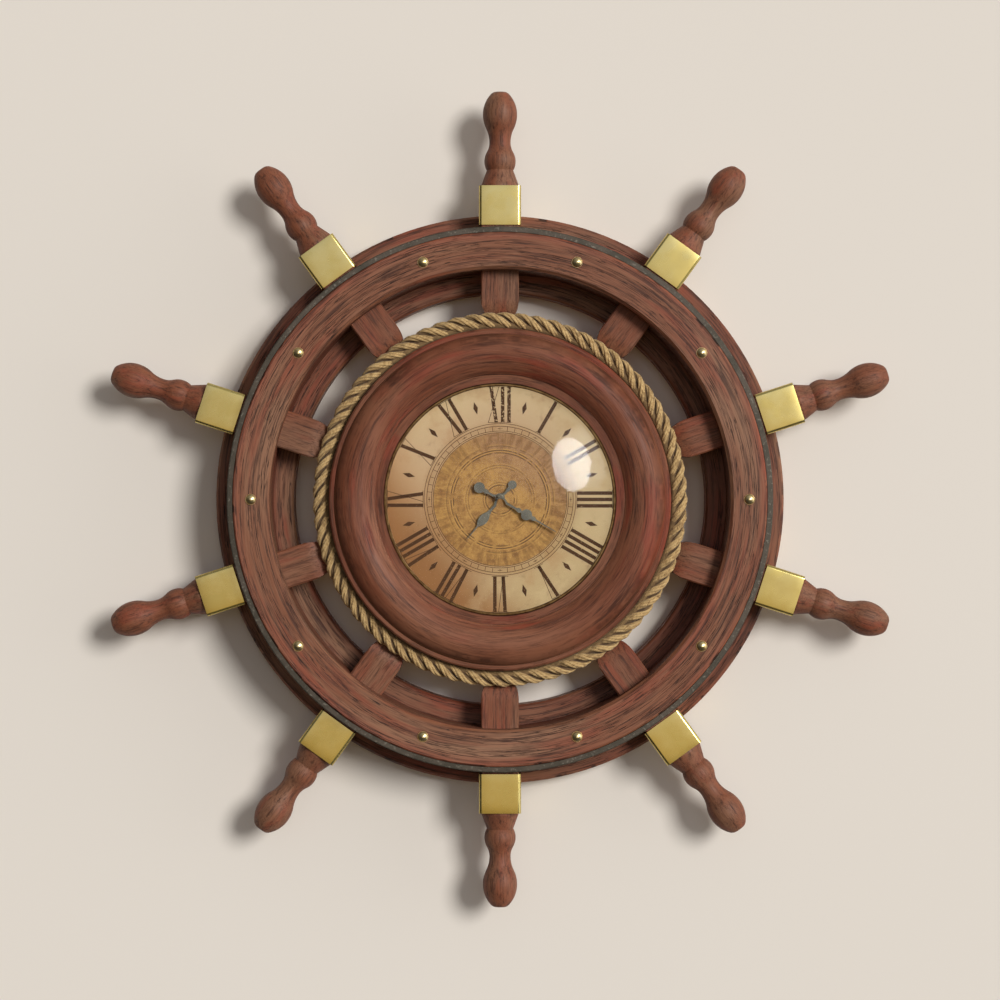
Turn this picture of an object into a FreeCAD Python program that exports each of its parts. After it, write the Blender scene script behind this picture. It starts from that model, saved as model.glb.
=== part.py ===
import FreeCAD, Part
import math
import os

# Ship's wheel wall clock, in millimetres.
# The pieces are drawn about the dial axis: X right, Y up and Z out from the wall plane.
# place_in_row turns them so that Z is up, the front faces minus Y, and the hanger hole is the origin.

# Counts and angles
spoke_count = 10
first_spoke_angle = 90.0
felloe_angle_offset = 180.0 / spoke_count
hour_hand_angle = 220.0
minute_hand_angle = 120.0
full_turn = 360.0
quarter_turn = 90.0

# Clearances shared by many fits
wood_clearance = 0.3
joint_clearance = 0.1
running_clearance = 0.05
cut_overrun = 2.0

# Dial opening, glass and brass ring
dial_opening_radius = 83.4
glass_lip_width = 1.5
glass_ring_wall = 0.8
glass_ring_height = 10.5
glass_lip_thickness = 2.1
glass_lip_round = 0.6
glass_ring_flange_width = 2.3
glass_ring_flange_thickness = 1.7
glass_dome_radius = 205.0
glass_thickness = 2.0
spacer_wall = 0.9

# Turned bezel in front of the hub
bezel_groove_width = 6.0
bezel_floor_thickness = 7.0
bezel_edge_height = 16.0
bezel_inner_run = 16.5
bezel_crest_height = 23.0
bezel_outer_run = 14.0
bezel_lip_width = 3.7
bezel_lip_thickness = 9.0
bezel_lip_round = 1.2

# Hub, dial and board
hub_back_gap = 8.0
hub_depth = 44.0
hub_back_chamfer = 4.0
board_ledge_width = 28.3
hub_recess_chamfer = 2.0
dial_setback = 1.0
dial_thickness = 0.8
dial_hole_clearance = 0.7
board_thickness = 6.0
board_screw_edge_distance = 14.0
board_screw_count = 4
board_screw_length = 18.0
board_screw_radius = 1.8
board_screw_head_radius = 3.6
board_screw_head_depth = 1.9

# Rope laid round the hub
rope_diameter = 12.5
rope_sides = 8

# Rim rings, hoop and felloes
window_gap = 16.0
rear_ring_width = 58.5
rear_ring_thickness = 20.0
rear_ring_bevel = 1.6
front_ring_setback = 15.0
front_ring_width = 27.0
front_ring_thickness = 15.0
front_ring_bevel = 2.2
hoop_clearance = 0.3
hoop_thickness = 4.0
hoop_setback = 0.9
hoop_bevel = 0.8

# Brass dome screws through the rim
stud_head_radius = 4.0
stud_flange_thickness = 0.6
stud_dome_radius = 3.3
stud_dome_height = 2.2
stud_shank_radius = 2.0
stud_bite = 12.0

# Spokes, from the hub outwards
spoke_width = 28.0
spoke_edge_chamfer = 1.0
tenon_radius = 7.0
tenon_length = 14.0
tenon_end_gap = 0.5
neck_width = 18.6
shoulder_clear = 2.5
shoulder_length = 14.0
ferrule_gap = 2.3
ferrule_length = 29.2
ferrule_wall = 1.5
ferrule_edge_radius = 2.2
handle_collar_length = 1.7
handle_crease_distance = 12.8
handle_crease_drop = 1.8
handle_bulb_distance = 19.4
handle_bulb_radius = 11.7
handle_neck_distance = 33.6
handle_neck_radius = 7.9
handle_grip_distance = 54.4
handle_grip_radius = 12.8
handle_end_distance = 71.0
handle_corner_length = 1.0
handle_corner_radius = 6.6
handle_end_bevel = 1.6

# Hands
hand_thickness = 0.8
hand_boss_radius = 3.6
minute_hand_length = 47.5
minute_bulb_distance = 22.6
minute_bulb_radius = 4.1
minute_collar_distance = 16.0
minute_collar_length = 5.0
minute_collar_width = 3.4
minute_tip_collar_distance = 28.2
minute_tail_distance = 17.5
minute_tail_radius = 4.0
minute_arm_width = 2.2
hour_hand_length = 38.2
hour_spade_distance = 19.0
hour_spade_length = 14.0
hour_spade_width = 6.8
hour_collar_distance = 12.6
hour_collar_length = 4.4
hour_collar_width = 3.0
hour_tail_distance = 14.2
hour_tail_radius = 3.2
hour_arm_width = 2.4
hand_waist_width = 1.3
hand_tip_width = 0.5
hand_collet_wall = 0.5
hand_collet_length = 1.4
hour_hand_lift = 1.6
hand_gap = 0.6
hand_nut_radius = 2.3
hand_nut_height = 2.0
hand_nut_bevel = 0.6

# Movement case behind the board
case_wall = 1.5
case_corner_radius = 4.0
cover_lip_depth = 1.6
centre_wheel_gap = 0.36
room_side_clearance = 0.6
unit_wheel_gap = 1.5
lip_gap = 0.5
bush_radius = 4.0
bush_end_gap = 0.3
washer_thickness = 1.0
washer_radius = 9.0
nut_sides = 6
nut_wall = 2.0
nut_thickness = 2.0
nut_pocket_depth = 3.2
nut_pocket_clearance = 1.0
hour_tube_radius = 2.5
minute_shaft_radius = 1.5
minute_pivot_radius = 0.8
minute_tip_radius = 1.2
post_width = 4.0

# Wheels of the movement
motion_module = 0.4
train_module = 0.3
cannon_teeth = 12
reverser_teeth = 36
reverser_pinion_teeth = 10
hour_teeth = 40
setting_teeth = 12
centre_teeth = 60
drive_teeth = 8
pressure_angle = 20.0
addendum_share = 0.8
dedendum_share = 1.1
backlash_share = 0.22
wheel_thickness = 1.3
wheel_gap = 0.7
pinion_overlap = 0.2
arbor_radius = 0.8
reverser_angle = 65.0
setting_angle = 20.0
drive_angle = 180.0
plate_thickness = 1.5
plate_wheel_gap = 0.6
setting_shaft_radius = 1.2
knob_radius = 5.0
knob_thickness = 3.4
knob_gap = 0.6
knob_notch_count = 12
knob_notch_radius = 0.9

# Drive unit, board and battery inside the case
drive_unit_width = 15.0
drive_unit_height = 21.0
drive_unit_thickness = 3.6
drive_unit_corner = 1.5
drive_shaft_inset = 2.3
drive_shaft_radius = 0.6
stator_thickness = 0.8
stator_width = 3.0
coil_radius = 2.4
coil_flange_radius = 2.7
coil_flange_thickness = 0.8
coil_length = 17.0
circuit_width = 17.0
circuit_height = 14.0
circuit_thickness = 0.8
circuit_post_radius = 1.4
circuit_post_height = 0.9
chip_width = 5.0
chip_thickness = 1.2
crystal_radius = 0.9
crystal_length = 6.0
battery_radius = 7.1
battery_length = 50.5
battery_nub_radius = 2.7
battery_nub_length = 1.0
battery_end_chamfer = 0.6
battery_clearance = 0.4
battery_side_clearance = 0.6
battery_back_gap = 0.9
contact_thickness = 0.4
contact_width = 10.0
contact_pad_radius = 2.6
contact_gap = 0.1
contact_reach = 0.65

# Keyhole hanger let into the back of the rear ring
hanger_plate_width = 18.0
hanger_plate_length = 46.0
hanger_plate_thickness = 1.5
hanger_plate_corner = 3.0
keyhole_radius = 4.5
keyhole_slot_width = 4.4
keyhole_slot_length = 11.0
hanger_pocket_margin = 2.0
hanger_pocket_top_margin = 4.0
hanger_pocket_depth = 9.0
hanger_screw_end_distance = 6.0
hanger_screw_radius = 1.6
hanger_screw_head_radius = 3.0
hanger_screw_head_depth = 1.2
hanger_screw_length = 14.0
hanger_plate_shift = 4.0
hanger_top_margin = 2.25

# Radii worked out from the dial outwards
glass_seat_radius = dial_opening_radius + glass_lip_width
glass_ring_radius = glass_seat_radius + glass_ring_wall
glass_ring_flange_radius = glass_ring_radius + glass_ring_flange_width
bezel_bore_radius = glass_ring_radius + wood_clearance
groove_radius = bezel_bore_radius + bezel_groove_width
crest_radius = groove_radius + bezel_inner_run
foot_radius = crest_radius + bezel_outer_run
hub_radius = foot_radius + bezel_lip_width
rope_radius = rope_diameter / 2
rope_centre_radius = hub_radius + wood_clearance + rope_radius
rope_outer_radius = rope_centre_radius + rope_radius
rear_ring_bore = rope_outer_radius + window_gap
rear_ring_radius = rear_ring_bore + rear_ring_width
front_ring_bore = rear_ring_bore + front_ring_setback
front_ring_radius = front_ring_bore + front_ring_width
hoop_bore = front_ring_radius + hoop_clearance
hoop_radius = hoop_bore + hoop_thickness
stud_circle_radius = (front_ring_bore + front_ring_radius) / 2
ferrule_start = hoop_radius + ferrule_gap
ferrule_end = ferrule_start + ferrule_length
handle_crease_radius = handle_bulb_radius - handle_crease_drop
handle_end_radius = handle_corner_radius - handle_end_bevel
board_radius = glass_ring_flange_radius
board_seat_radius = board_radius + wood_clearance
board_screw_circle_radius = board_radius - board_screw_edge_distance
hub_recess_radius = board_seat_radius - board_ledge_width
dial_hole_radius = hour_tube_radius + dial_hole_clearance
hanger_plate_radius = rear_ring_radius - hanger_top_margin - hanger_plate_length / 2
hanger_circle_radius = hanger_plate_radius - hanger_plate_shift

# Depths worked out from the wall plane
spoke_depth = rear_ring_thickness + spoke_width / 2
rim_mid_depth = rear_ring_thickness + spoke_width
rim_front_depth = rim_mid_depth + front_ring_thickness
hoop_front_depth = rim_front_depth - hoop_setback
hub_front_depth = hub_back_gap + hub_depth
dial_front_depth = hub_front_depth - dial_setback
dial_back_depth = dial_front_depth - dial_thickness
board_back_depth = dial_back_depth - board_thickness
bezel_floor_depth = hub_front_depth + bezel_floor_thickness
bezel_edge_depth = hub_front_depth + bezel_edge_height
bezel_crest_depth = hub_front_depth + bezel_crest_height
bezel_lip_depth = hub_front_depth + bezel_lip_thickness
glass_ring_front_depth = dial_front_depth + glass_ring_height
glass_lip_depth = glass_ring_front_depth - glass_lip_thickness
neck_half = neck_width / 2
minute_hand_lift = hour_hand_lift + hand_thickness + hand_gap
rope_depth = spoke_depth + neck_half + wood_clearance + rope_radius
case_front_depth = board_back_depth - washer_thickness
case_inner_depth = case_front_depth - case_wall
nut_seat_depth = dial_back_depth - nut_pocket_depth
bush_front_depth = dial_back_depth - bush_end_gap

# Depths of the wheels, from the case front inwards
hour_wheel_depth = case_inner_depth - wheel_gap - wheel_thickness
reverser_depth = hour_wheel_depth - wheel_gap - wheel_thickness
plate_front_depth = reverser_depth - plate_wheel_gap
plate_back_depth = plate_front_depth - plate_thickness
centre_wheel_depth = plate_back_depth - plate_wheel_gap - wheel_thickness

# The case is as deep as the deeper of its train and its battery
unit_front_depth = centre_wheel_depth - unit_wheel_gap - stator_thickness
train_back_depth = unit_front_depth - drive_unit_thickness - joint_clearance - case_wall
battery_front_depth = case_inner_depth - battery_clearance
battery_back_depth = battery_front_depth - 2 * battery_radius - battery_back_gap
case_back_depth = min(train_back_depth, battery_back_depth)
cover_front_depth = case_back_depth + case_wall

# Wheel centres, in the dial plane
cannon_pitch_radius = motion_module * cannon_teeth / 2
reverser_pitch_radius = motion_module * reverser_teeth / 2
setting_pitch_radius = motion_module * setting_teeth / 2
reverser_distance = cannon_pitch_radius + reverser_pitch_radius
hour_module = 2 * reverser_distance / (reverser_pinion_teeth + hour_teeth)
setting_distance = reverser_pitch_radius + setting_pitch_radius
drive_distance = train_module * (centre_teeth + drive_teeth) / 2
centre_tip_radius = train_module * (centre_teeth / 2 + addendum_share)

# The case is as wide as the wider of its battery and its drive unit, and as high as wheel and bay need
contact_room = contact_gap + contact_reach + contact_thickness + joint_clearance
battery_half_room = battery_length / 2 + contact_room
unit_far_edge = drive_distance - drive_shaft_inset + drive_unit_width
unit_half_room = unit_far_edge + stator_width + room_side_clearance
room_half_width = max(battery_half_room, unit_half_room)
case_width = 2 * (room_half_width + case_wall)
bay_width = 2 * (battery_radius + battery_side_clearance)
case_height = 2 * (centre_tip_radius + centre_wheel_gap + 2 * case_wall + bay_width)
lip_side = room_half_width - case_wall
lip_top = case_height / 2 - 2 * case_wall
lip_bottom = bay_width + 3 * case_wall - case_height / 2

# Nut on the bush
nut_flat_radius = bush_radius + nut_wall
nut_corner_radius = nut_flat_radius / math.cos(math.pi / nut_sides)
nut_pocket_radius = nut_corner_radius + nut_pocket_clearance

out_of_wall = FreeCAD.Vector(0, 0, 1)
along_spoke = FreeCAD.Vector(1, 0, 0)
dial_axis_point = FreeCAD.Vector(0, 0, 0)


def polar(radius, angle, depth=0):
    """Point at a radius and an angle in degrees about the dial axis."""
    turn = math.radians(angle)
    return FreeCAD.Vector(radius * math.cos(turn), radius * math.sin(turn), depth)


def turned_copy(shape, angle):
    """Copy of a shape turned about the dial axis."""
    copy = shape.copy()
    copy.rotate(dial_axis_point, out_of_wall, angle)
    return copy


def moved_copy(shape, offset):
    """Copy of a shape moved by a vector."""
    copy = shape.copy()
    copy.translate(offset)
    return copy


def line(start, end):
    """Straight edge."""
    return Part.LineSegment(start, end).toShape()


def arc(start, middle, end):
    """Arc through three points."""
    return Part.Arc(start, middle, end).toShape()


def disc(radius, start_depth, end_depth, centre=dial_axis_point):
    """Cylinder along the dial axis between two depths."""
    base = FreeCAD.Vector(centre.x, centre.y, start_depth)
    return Part.makeCylinder(radius, end_depth - start_depth, base, out_of_wall)


def tube(outer_radius, inner_radius, start_depth, end_depth, centre=dial_axis_point):
    """Hollow cylinder along the dial axis between two depths."""
    bore = disc(inner_radius, start_depth - cut_overrun, end_depth + cut_overrun, centre)
    return disc(outer_radius, start_depth, end_depth, centre).cut(bore)


def slab(width, height, start_depth, end_depth, centre=dial_axis_point):
    """Block centred on a point of the dial plane."""
    corner = FreeCAD.Vector(centre.x - width / 2, centre.y - height / 2, start_depth)
    return Part.makeBox(width, height, end_depth - start_depth, corner)


def rounded_slab(width, height, start_depth, end_depth, corner_radius, centre=dial_axis_point):
    """Block with its four upright edges rounded."""
    block = slab(width, height, start_depth, end_depth, centre)
    upright = [edge for edge in block.Edges if abs(edge.tangentAt(edge.FirstParameter).z) > 1 / 2]
    return block.makeFillet(corner_radius, upright)


def turned(edges):
    """Solid of revolution about the dial axis from a closed profile in the XZ plane."""
    face = Part.Face(Part.Wire(Part.__sortEdges__(edges)))
    return face.revolve(dial_axis_point, out_of_wall, full_turn)


def turned_ring(points):
    """Solid of revolution from straight profile lines given as radius and depth pairs."""
    corners = [FreeCAD.Vector(radius, 0, depth) for radius, depth in points]
    edges = [line(corners[i - 1], corners[i]) for i in range(len(corners))]
    return turned(edges)


def arc_middle(high, low):
    """Middle of an arc that leaves the high point level and ends at the low point."""
    run = low.x - high.x
    drop = high.y - low.y
    radius = (run * run + drop * drop) / (2 * drop)
    half_turn = math.atan2(drop, abs(run))
    step = math.copysign(radius * math.sin(half_turn), run)
    sink = radius * (1 - math.cos(half_turn))
    return FreeCAD.Vector(high.x + step, high.y - sink, 0)


def level_arc(high, low):
    """Arc that leaves the high point level and curves down to the low point."""
    return arc(high, arc_middle(high, low), low)


def hollow_arc(low, high):
    """Arc that leaves the low point level and curves up to the high point."""
    flipped_low = FreeCAD.Vector(low.x, -low.y, 0)
    flipped_high = FreeCAD.Vector(high.x, -high.y, 0)
    middle = arc_middle(flipped_low, flipped_high)
    return arc(low, FreeCAD.Vector(middle.x, -middle.y, 0), high)


def wave(first, second, first_is_high):
    """Two arcs of one radius that join a crest and a hollow, level at both."""
    middle = (first + second) / 2
    if first_is_high:
        return [level_arc(first, middle), hollow_arc(second, middle)]
    return [hollow_arc(first, middle), level_arc(second, middle)]


def place_in_row(shape):
    """Turn a piece from the dial frame into the row frame and put the hanger hole at the origin."""
    placed = shape.copy()
    placed.rotate(dial_axis_point, along_spoke, quarter_turn)
    placed.translate(FreeCAD.Vector(0, 0, -hanger_circle_radius))
    return placed


def save(node, shape):
    """Write one node's STEP file."""
    place_in_row(shape).exportStep("parts/" + node + ".step")


def spoke_angles():
    """Angles of the spokes, counted anticlockwise from the top one."""
    return [first_spoke_angle + full_turn * i / spoke_count for i in range(spoke_count)]


def felloe_angles():
    """Angles half way between the spokes."""
    return [angle + felloe_angle_offset for angle in spoke_angles()]


def shaped_bar():
    """Square spoke bar whose inner end swells out from the neck in a rounded shoulder."""
    half = spoke_width / 2
    inner = hub_radius - cut_overrun
    neck_end = rope_centre_radius + shoulder_clear
    shoulder = neck_end + shoulder_length
    bar_end = ferrule_end
    outline = []
    for side in (-1, 1):
        root = FreeCAD.Vector(inner, side * neck_half, 0)
        neck = FreeCAD.Vector(neck_end, side * neck_half, 0)
        full = FreeCAD.Vector(shoulder, side * half, 0)
        end = FreeCAD.Vector(bar_end, side * half, 0)
        middle = arc_middle(FreeCAD.Vector(shoulder, half, 0), FreeCAD.Vector(neck_end, neck_half, 0))
        outline.append(line(root, neck))
        outline.append(arc(neck, FreeCAD.Vector(middle.x, side * middle.y, 0), full))
        outline.append(line(full, end))
    outline.append(line(FreeCAD.Vector(inner, -neck_half, 0), FreeCAD.Vector(inner, neck_half, 0)))
    outline.append(line(FreeCAD.Vector(bar_end, -half, 0), FreeCAD.Vector(bar_end, half, 0)))
    face = Part.Face(Part.Wire(Part.__sortEdges__(outline)))
    face.translate(FreeCAD.Vector(0, 0, -half))
    flat = face.extrude(FreeCAD.Vector(0, 0, spoke_width))
    upright = flat.copy()
    upright.rotate(dial_axis_point, along_spoke, quarter_turn)
    bar = flat.common(upright)
    diagonal = spoke_width * math.sqrt(2) - spoke_edge_chamfer * math.sqrt(2)
    corner = FreeCAD.Vector(inner, -diagonal / 2, -diagonal / 2)
    trimmer = Part.makeBox(bar_end - inner, diagonal, diagonal, corner)
    trimmer.rotate(dial_axis_point, along_spoke, quarter_turn / 2)
    return bar.common(trimmer)


def turned_handle():
    """Handle profile turned about the spoke's own axis."""
    half = spoke_width / 2

    def point(distance, radius):
        return FreeCAD.Vector(ferrule_end + distance, radius, 0)

    start = point(-joint_clearance, 0)
    rim = point(-joint_clearance, half)
    collar = point(handle_collar_length, half)
    crease_outer = point(handle_crease_distance, handle_crease_radius)
    bulb = point(handle_bulb_distance, handle_bulb_radius)
    neck = point(handle_neck_distance, handle_neck_radius)
    grip = point(handle_grip_distance, handle_grip_radius)
    corner = point(handle_end_distance - handle_corner_length, handle_corner_radius)
    end_rim = point(handle_end_distance, handle_end_radius)
    end = point(handle_end_distance, 0)
    edges = [line(start, rim), line(rim, collar), line(collar, crease_outer)]
    edges.append(level_arc(bulb, crease_outer))
    edges += wave(bulb, neck, True)
    edges += wave(neck, grip, False)
    edges.append(level_arc(grip, corner))
    edges += [line(corner, end_rim), line(end_rim, end), line(end, start)]
    face = Part.Face(Part.Wire(Part.__sortEdges__(edges)))
    return face.revolve(dial_axis_point, along_spoke, full_turn)


def spoke():
    """One spoke along X at the spokes' depth: tenon, neck, square bar and turned handle."""
    hub_skin = disc(hub_radius + joint_clearance, -spoke_width, spoke_width)
    bar = shaped_bar().cut(hub_skin)
    tenon_root = FreeCAD.Vector(hub_radius - tenon_length, 0, 0)
    tenon = Part.makeCylinder(tenon_radius, tenon_length + neck_half, tenon_root, along_spoke)
    body = bar.fuse([tenon, turned_handle()]).removeSplitter()
    return moved_copy(body, FreeCAD.Vector(0, 0, spoke_depth))


def ferrule():
    """Square brass sleeve along X that slips over the handle on to the square bar."""
    outer = spoke_width / 2 + joint_clearance + ferrule_wall
    inner = spoke_width / 2 + joint_clearance
    corner = FreeCAD.Vector(ferrule_start, -outer, spoke_depth - outer)
    block = Part.makeBox(ferrule_length, 2 * outer, 2 * outer, corner)
    long_edges = [edge for edge in block.Edges if abs(edge.tangentAt(edge.FirstParameter).x) > 1 / 2]
    block = block.makeFillet(ferrule_edge_radius, long_edges)
    hole_corner = FreeCAD.Vector(ferrule_start - cut_overrun, -inner, spoke_depth - inner)
    hole = Part.makeBox(ferrule_length + 2 * cut_overrun, 2 * inner, 2 * inner, hole_corner)
    return block.cut(hole)


def ferrule_reliefs():
    """Shallow cuts in the rear ring's front face under the ferrules."""
    half = spoke_width / 2 + joint_clearance + ferrule_wall + joint_clearance
    corner = FreeCAD.Vector(ferrule_start - joint_clearance, -half, spoke_depth - half)
    cutter = Part.makeBox(rear_ring_radius, 2 * half, 2 * half, corner)
    return [turned_copy(cutter, angle) for angle in spoke_angles()]


def stud_holes():
    """Clearance holes for the rim screws, blind in the rear ring."""
    start = rear_ring_thickness - stud_bite - joint_clearance
    radius = stud_shank_radius + joint_clearance
    end = rim_front_depth + cut_overrun
    return [disc(radius, start, end, polar(stud_circle_radius, angle)) for angle in felloe_angles()]


def hanger_centre():
    """Centre of the keyhole's round end."""
    return FreeCAD.Vector(0, hanger_circle_radius, 0)


def hanger_plate_centre():
    """Centre of the hanger plate, a little above the keyhole's round end."""
    return hanger_centre() + FreeCAD.Vector(0, hanger_plate_shift, 0)


def hanger_screw_points():
    """Places of the two hanger screws."""
    half = FreeCAD.Vector(0, hanger_plate_length / 2 - hanger_screw_end_distance, 0)
    return [hanger_plate_centre() - half, hanger_plate_centre() + half]


def rear_ring():
    """Wide wooden ring that meets the wall, with the hanger let into its back."""
    bevel = rear_ring_bevel
    ring = turned_ring([
        (rear_ring_bore, 0),
        (rear_ring_radius - bevel, 0),
        (rear_ring_radius, bevel),
        (rear_ring_radius, rear_ring_thickness - bevel),
        (rear_ring_radius - bevel, rear_ring_thickness),
        (rear_ring_bore + bevel, rear_ring_thickness),
        (rear_ring_bore, rear_ring_thickness - bevel),
    ])
    plate_bed = rounded_slab(
        hanger_plate_width + 2 * joint_clearance,
        hanger_plate_length + 2 * joint_clearance,
        -cut_overrun,
        hanger_plate_thickness,
        hanger_plate_corner + joint_clearance,
        hanger_plate_centre(),
    )
    pocket_below = keyhole_radius + hanger_pocket_margin
    pocket_above = keyhole_slot_length + hanger_pocket_top_margin
    pocket_centre = hanger_centre() + FreeCAD.Vector(0, (pocket_above - pocket_below) / 2, 0)
    pocket_height = pocket_below + pocket_above
    pocket = slab(2 * pocket_below, pocket_height, -cut_overrun, hanger_pocket_depth, pocket_centre)
    cutters = ferrule_reliefs() + stud_holes() + [plate_bed, pocket]
    hole_radius = hanger_screw_radius + joint_clearance
    for point in hanger_screw_points():
        cutters.append(disc(hole_radius, -cut_overrun, hanger_screw_length + joint_clearance, point))
    return ring.cut(cutters)


def hanger_plate():
    """Steel keyhole plate: round hole for the screw head and a slot above it."""
    plate = rounded_slab(
        hanger_plate_width,
        hanger_plate_length,
        0,
        hanger_plate_thickness,
        hanger_plate_corner,
        hanger_plate_centre(),
    )
    end = hanger_plate_thickness + cut_overrun
    keyhole = disc(keyhole_radius, -cut_overrun, end, hanger_centre())
    slot_middle = hanger_centre() + FreeCAD.Vector(0, keyhole_slot_length / 2, 0)
    slot_top = hanger_centre() + FreeCAD.Vector(0, keyhole_slot_length, 0)
    slot = slab(keyhole_slot_width, keyhole_slot_length, -cut_overrun, end, slot_middle)
    slot_end = disc(keyhole_slot_width / 2, -cut_overrun, end, slot_top)
    cutters = [keyhole, slot, slot_end]
    for point in hanger_screw_points():
        cutters.append(countersunk_cutter(point))
    return plate.cut(cutters)


def countersunk_cutter(point):
    """Hole and countersink for a hanger screw, opening to the wall side."""
    radius = hanger_screw_radius + joint_clearance
    hole = disc(radius, -cut_overrun, hanger_plate_thickness + cut_overrun, point)
    sink = Part.makeCone(
        hanger_screw_head_radius + joint_clearance,
        radius,
        hanger_screw_head_depth,
        point,
        out_of_wall,
    )
    return hole.fuse(sink)


def hanger_screws():
    """Two countersunk wood screws that hold the hanger plate."""
    screws = []
    for point in hanger_screw_points():
        head = Part.makeCone(
            hanger_screw_head_radius,
            hanger_screw_radius,
            hanger_screw_head_depth,
            point,
            out_of_wall,
        )
        shank = disc(hanger_screw_radius, hanger_screw_head_depth, hanger_screw_length, point)
        screws.append(head.fuse(shank).removeSplitter())
    return Part.makeCompound(screws)


def front_ring():
    """Narrower wooden ring in front of the spokes and felloes."""
    bevel = front_ring_bevel
    ring = turned_ring([
        (front_ring_bore, rim_mid_depth),
        (front_ring_radius, rim_mid_depth),
        (front_ring_radius, rim_front_depth - bevel / 2),
        (front_ring_radius - bevel / 2, rim_front_depth),
        (front_ring_bore + bevel, rim_front_depth),
        (front_ring_bore, rim_front_depth - bevel),
    ])
    return ring.cut(stud_holes())


def rim_hoop():
    """Iron hoop shrunk round the front ring."""
    return turned_ring([
        (hoop_bore, rim_mid_depth),
        (hoop_radius, rim_mid_depth),
        (hoop_radius, hoop_front_depth - hoop_bevel),
        (hoop_radius - hoop_bevel, hoop_front_depth),
        (hoop_bore, hoop_front_depth),
    ])


def felloes():
    """Rim blocks between the spokes, as one group of separate solids."""
    ring = tube(front_ring_radius, front_ring_bore, rear_ring_thickness, rim_mid_depth)
    half = spoke_width / 2 + joint_clearance
    corner = FreeCAD.Vector(0, -half, rear_ring_thickness - cut_overrun)
    slot = Part.makeBox(rear_ring_radius, 2 * half, spoke_width + 2 * cut_overrun, corner)
    slots = [turned_copy(slot, angle) for angle in spoke_angles()]
    return Part.makeCompound(ring.cut(slots + stud_holes()).Solids)


def rim_studs():
    """Brass dome headed screws through the front ring and felloes into the rear ring."""
    studs = []
    tip = rear_ring_thickness - stud_bite
    flange_front = rim_front_depth + stud_flange_thickness
    dome_top = flange_front + stud_dome_height
    sphere_radius = (stud_dome_radius ** 2 + stud_dome_height ** 2) / (2 * stud_dome_height)
    for angle in felloe_angles():
        centre = polar(stud_circle_radius, angle)
        shank = disc(stud_shank_radius, tip, rim_front_depth, centre)
        flange = disc(stud_head_radius, rim_front_depth, flange_front, centre)
        ball = Part.makeSphere(sphere_radius, FreeCAD.Vector(centre.x, centre.y, dome_top - sphere_radius))
        dome = ball.common(disc(sphere_radius, flange_front, dome_top, centre))
        studs.append(shank.fuse([flange, dome]).removeSplitter())
    return Part.makeCompound(studs)


def board_screw_points():
    """Places of the screws that hold the board to the hub."""
    step = full_turn / board_screw_count
    return [polar(board_screw_circle_radius, step * i + step / 2) for i in range(board_screw_count)]


def hub_body():
    """Turned hub: seat for the board in front, recess for the movement behind, spoke sockets round it."""
    chamfer = hub_back_chamfer
    hub = turned_ring([
        (hub_recess_radius + hub_recess_chamfer, hub_back_gap),
        (hub_radius - chamfer, hub_back_gap),
        (hub_radius, hub_back_gap + chamfer),
        (hub_radius, hub_front_depth),
        (board_seat_radius, hub_front_depth),
        (board_seat_radius, board_back_depth),
        (hub_recess_radius, board_back_depth),
        (hub_recess_radius, hub_back_gap + hub_recess_chamfer),
    ])
    socket_radius = tenon_radius + joint_clearance
    socket_start = hub_radius - tenon_length - tenon_end_gap
    socket_root = FreeCAD.Vector(socket_start, 0, spoke_depth)
    socket = Part.makeCylinder(socket_radius, tenon_length + cut_overrun, socket_root, along_spoke)
    cutters = [turned_copy(socket, angle) for angle in spoke_angles()]
    screw_tip = dial_back_depth - board_screw_length - joint_clearance
    for point in board_screw_points():
        cutters.append(disc(board_screw_radius + joint_clearance, screw_tip, hub_front_depth, point))
    return hub.cut(cutters)


def bezel_ring():
    """Turned bezel: lip over the rope, round torus and a deep groove round the glass ring."""

    def point(radius, depth):
        return FreeCAD.Vector(radius, depth, 0)

    flange_seat = glass_ring_flange_radius + wood_clearance
    flange_top = dial_front_depth + glass_ring_flange_thickness + joint_clearance
    bore_back = point(bezel_bore_radius, flange_top)
    seat_top = point(flange_seat, flange_top)
    seat_back = point(flange_seat, hub_front_depth)
    side_back = point(hub_radius, hub_front_depth)
    side_front = point(hub_radius, bezel_lip_depth - bezel_lip_round)
    lip_edge = point(hub_radius - bezel_lip_round, bezel_lip_depth)
    foot = point(foot_radius, bezel_lip_depth)
    crest = point(crest_radius, bezel_crest_depth)
    edge = point(groove_radius, bezel_edge_depth)
    floor_outer = point(groove_radius, bezel_floor_depth)
    floor_inner = point(bezel_bore_radius, bezel_floor_depth)
    edges = [
        line(bore_back, seat_top),
        line(seat_top, seat_back),
        line(seat_back, side_back),
        line(side_back, side_front),
        line(side_front, lip_edge),
        line(lip_edge, foot),
        level_arc(crest, foot),
        level_arc(crest, edge),
        line(edge, floor_outer),
        line(floor_outer, floor_inner),
        line(floor_inner, bore_back),
    ]
    for edge_shape in edges:
        edge_shape.rotate(dial_axis_point, along_spoke, quarter_turn)
    return turned(edges)


def hub_rope():
    """Rope ring round the hub in the corner between the bezel's side and the spokes."""
    corners = []
    for i in range(rope_sides):
        turn = 2 * math.pi * i / rope_sides
        radius = rope_centre_radius + rope_radius * math.cos(turn)
        corners.append((radius, rope_depth + rope_radius * math.sin(turn)))
    return turned_ring(corners)


def glass_centre_depth():
    """Depth of the dome's centre, set so that the dome meets the ring's lip."""
    rise = math.sqrt(glass_dome_radius ** 2 - dial_opening_radius ** 2)
    return glass_lip_depth - joint_clearance - rise


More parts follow.
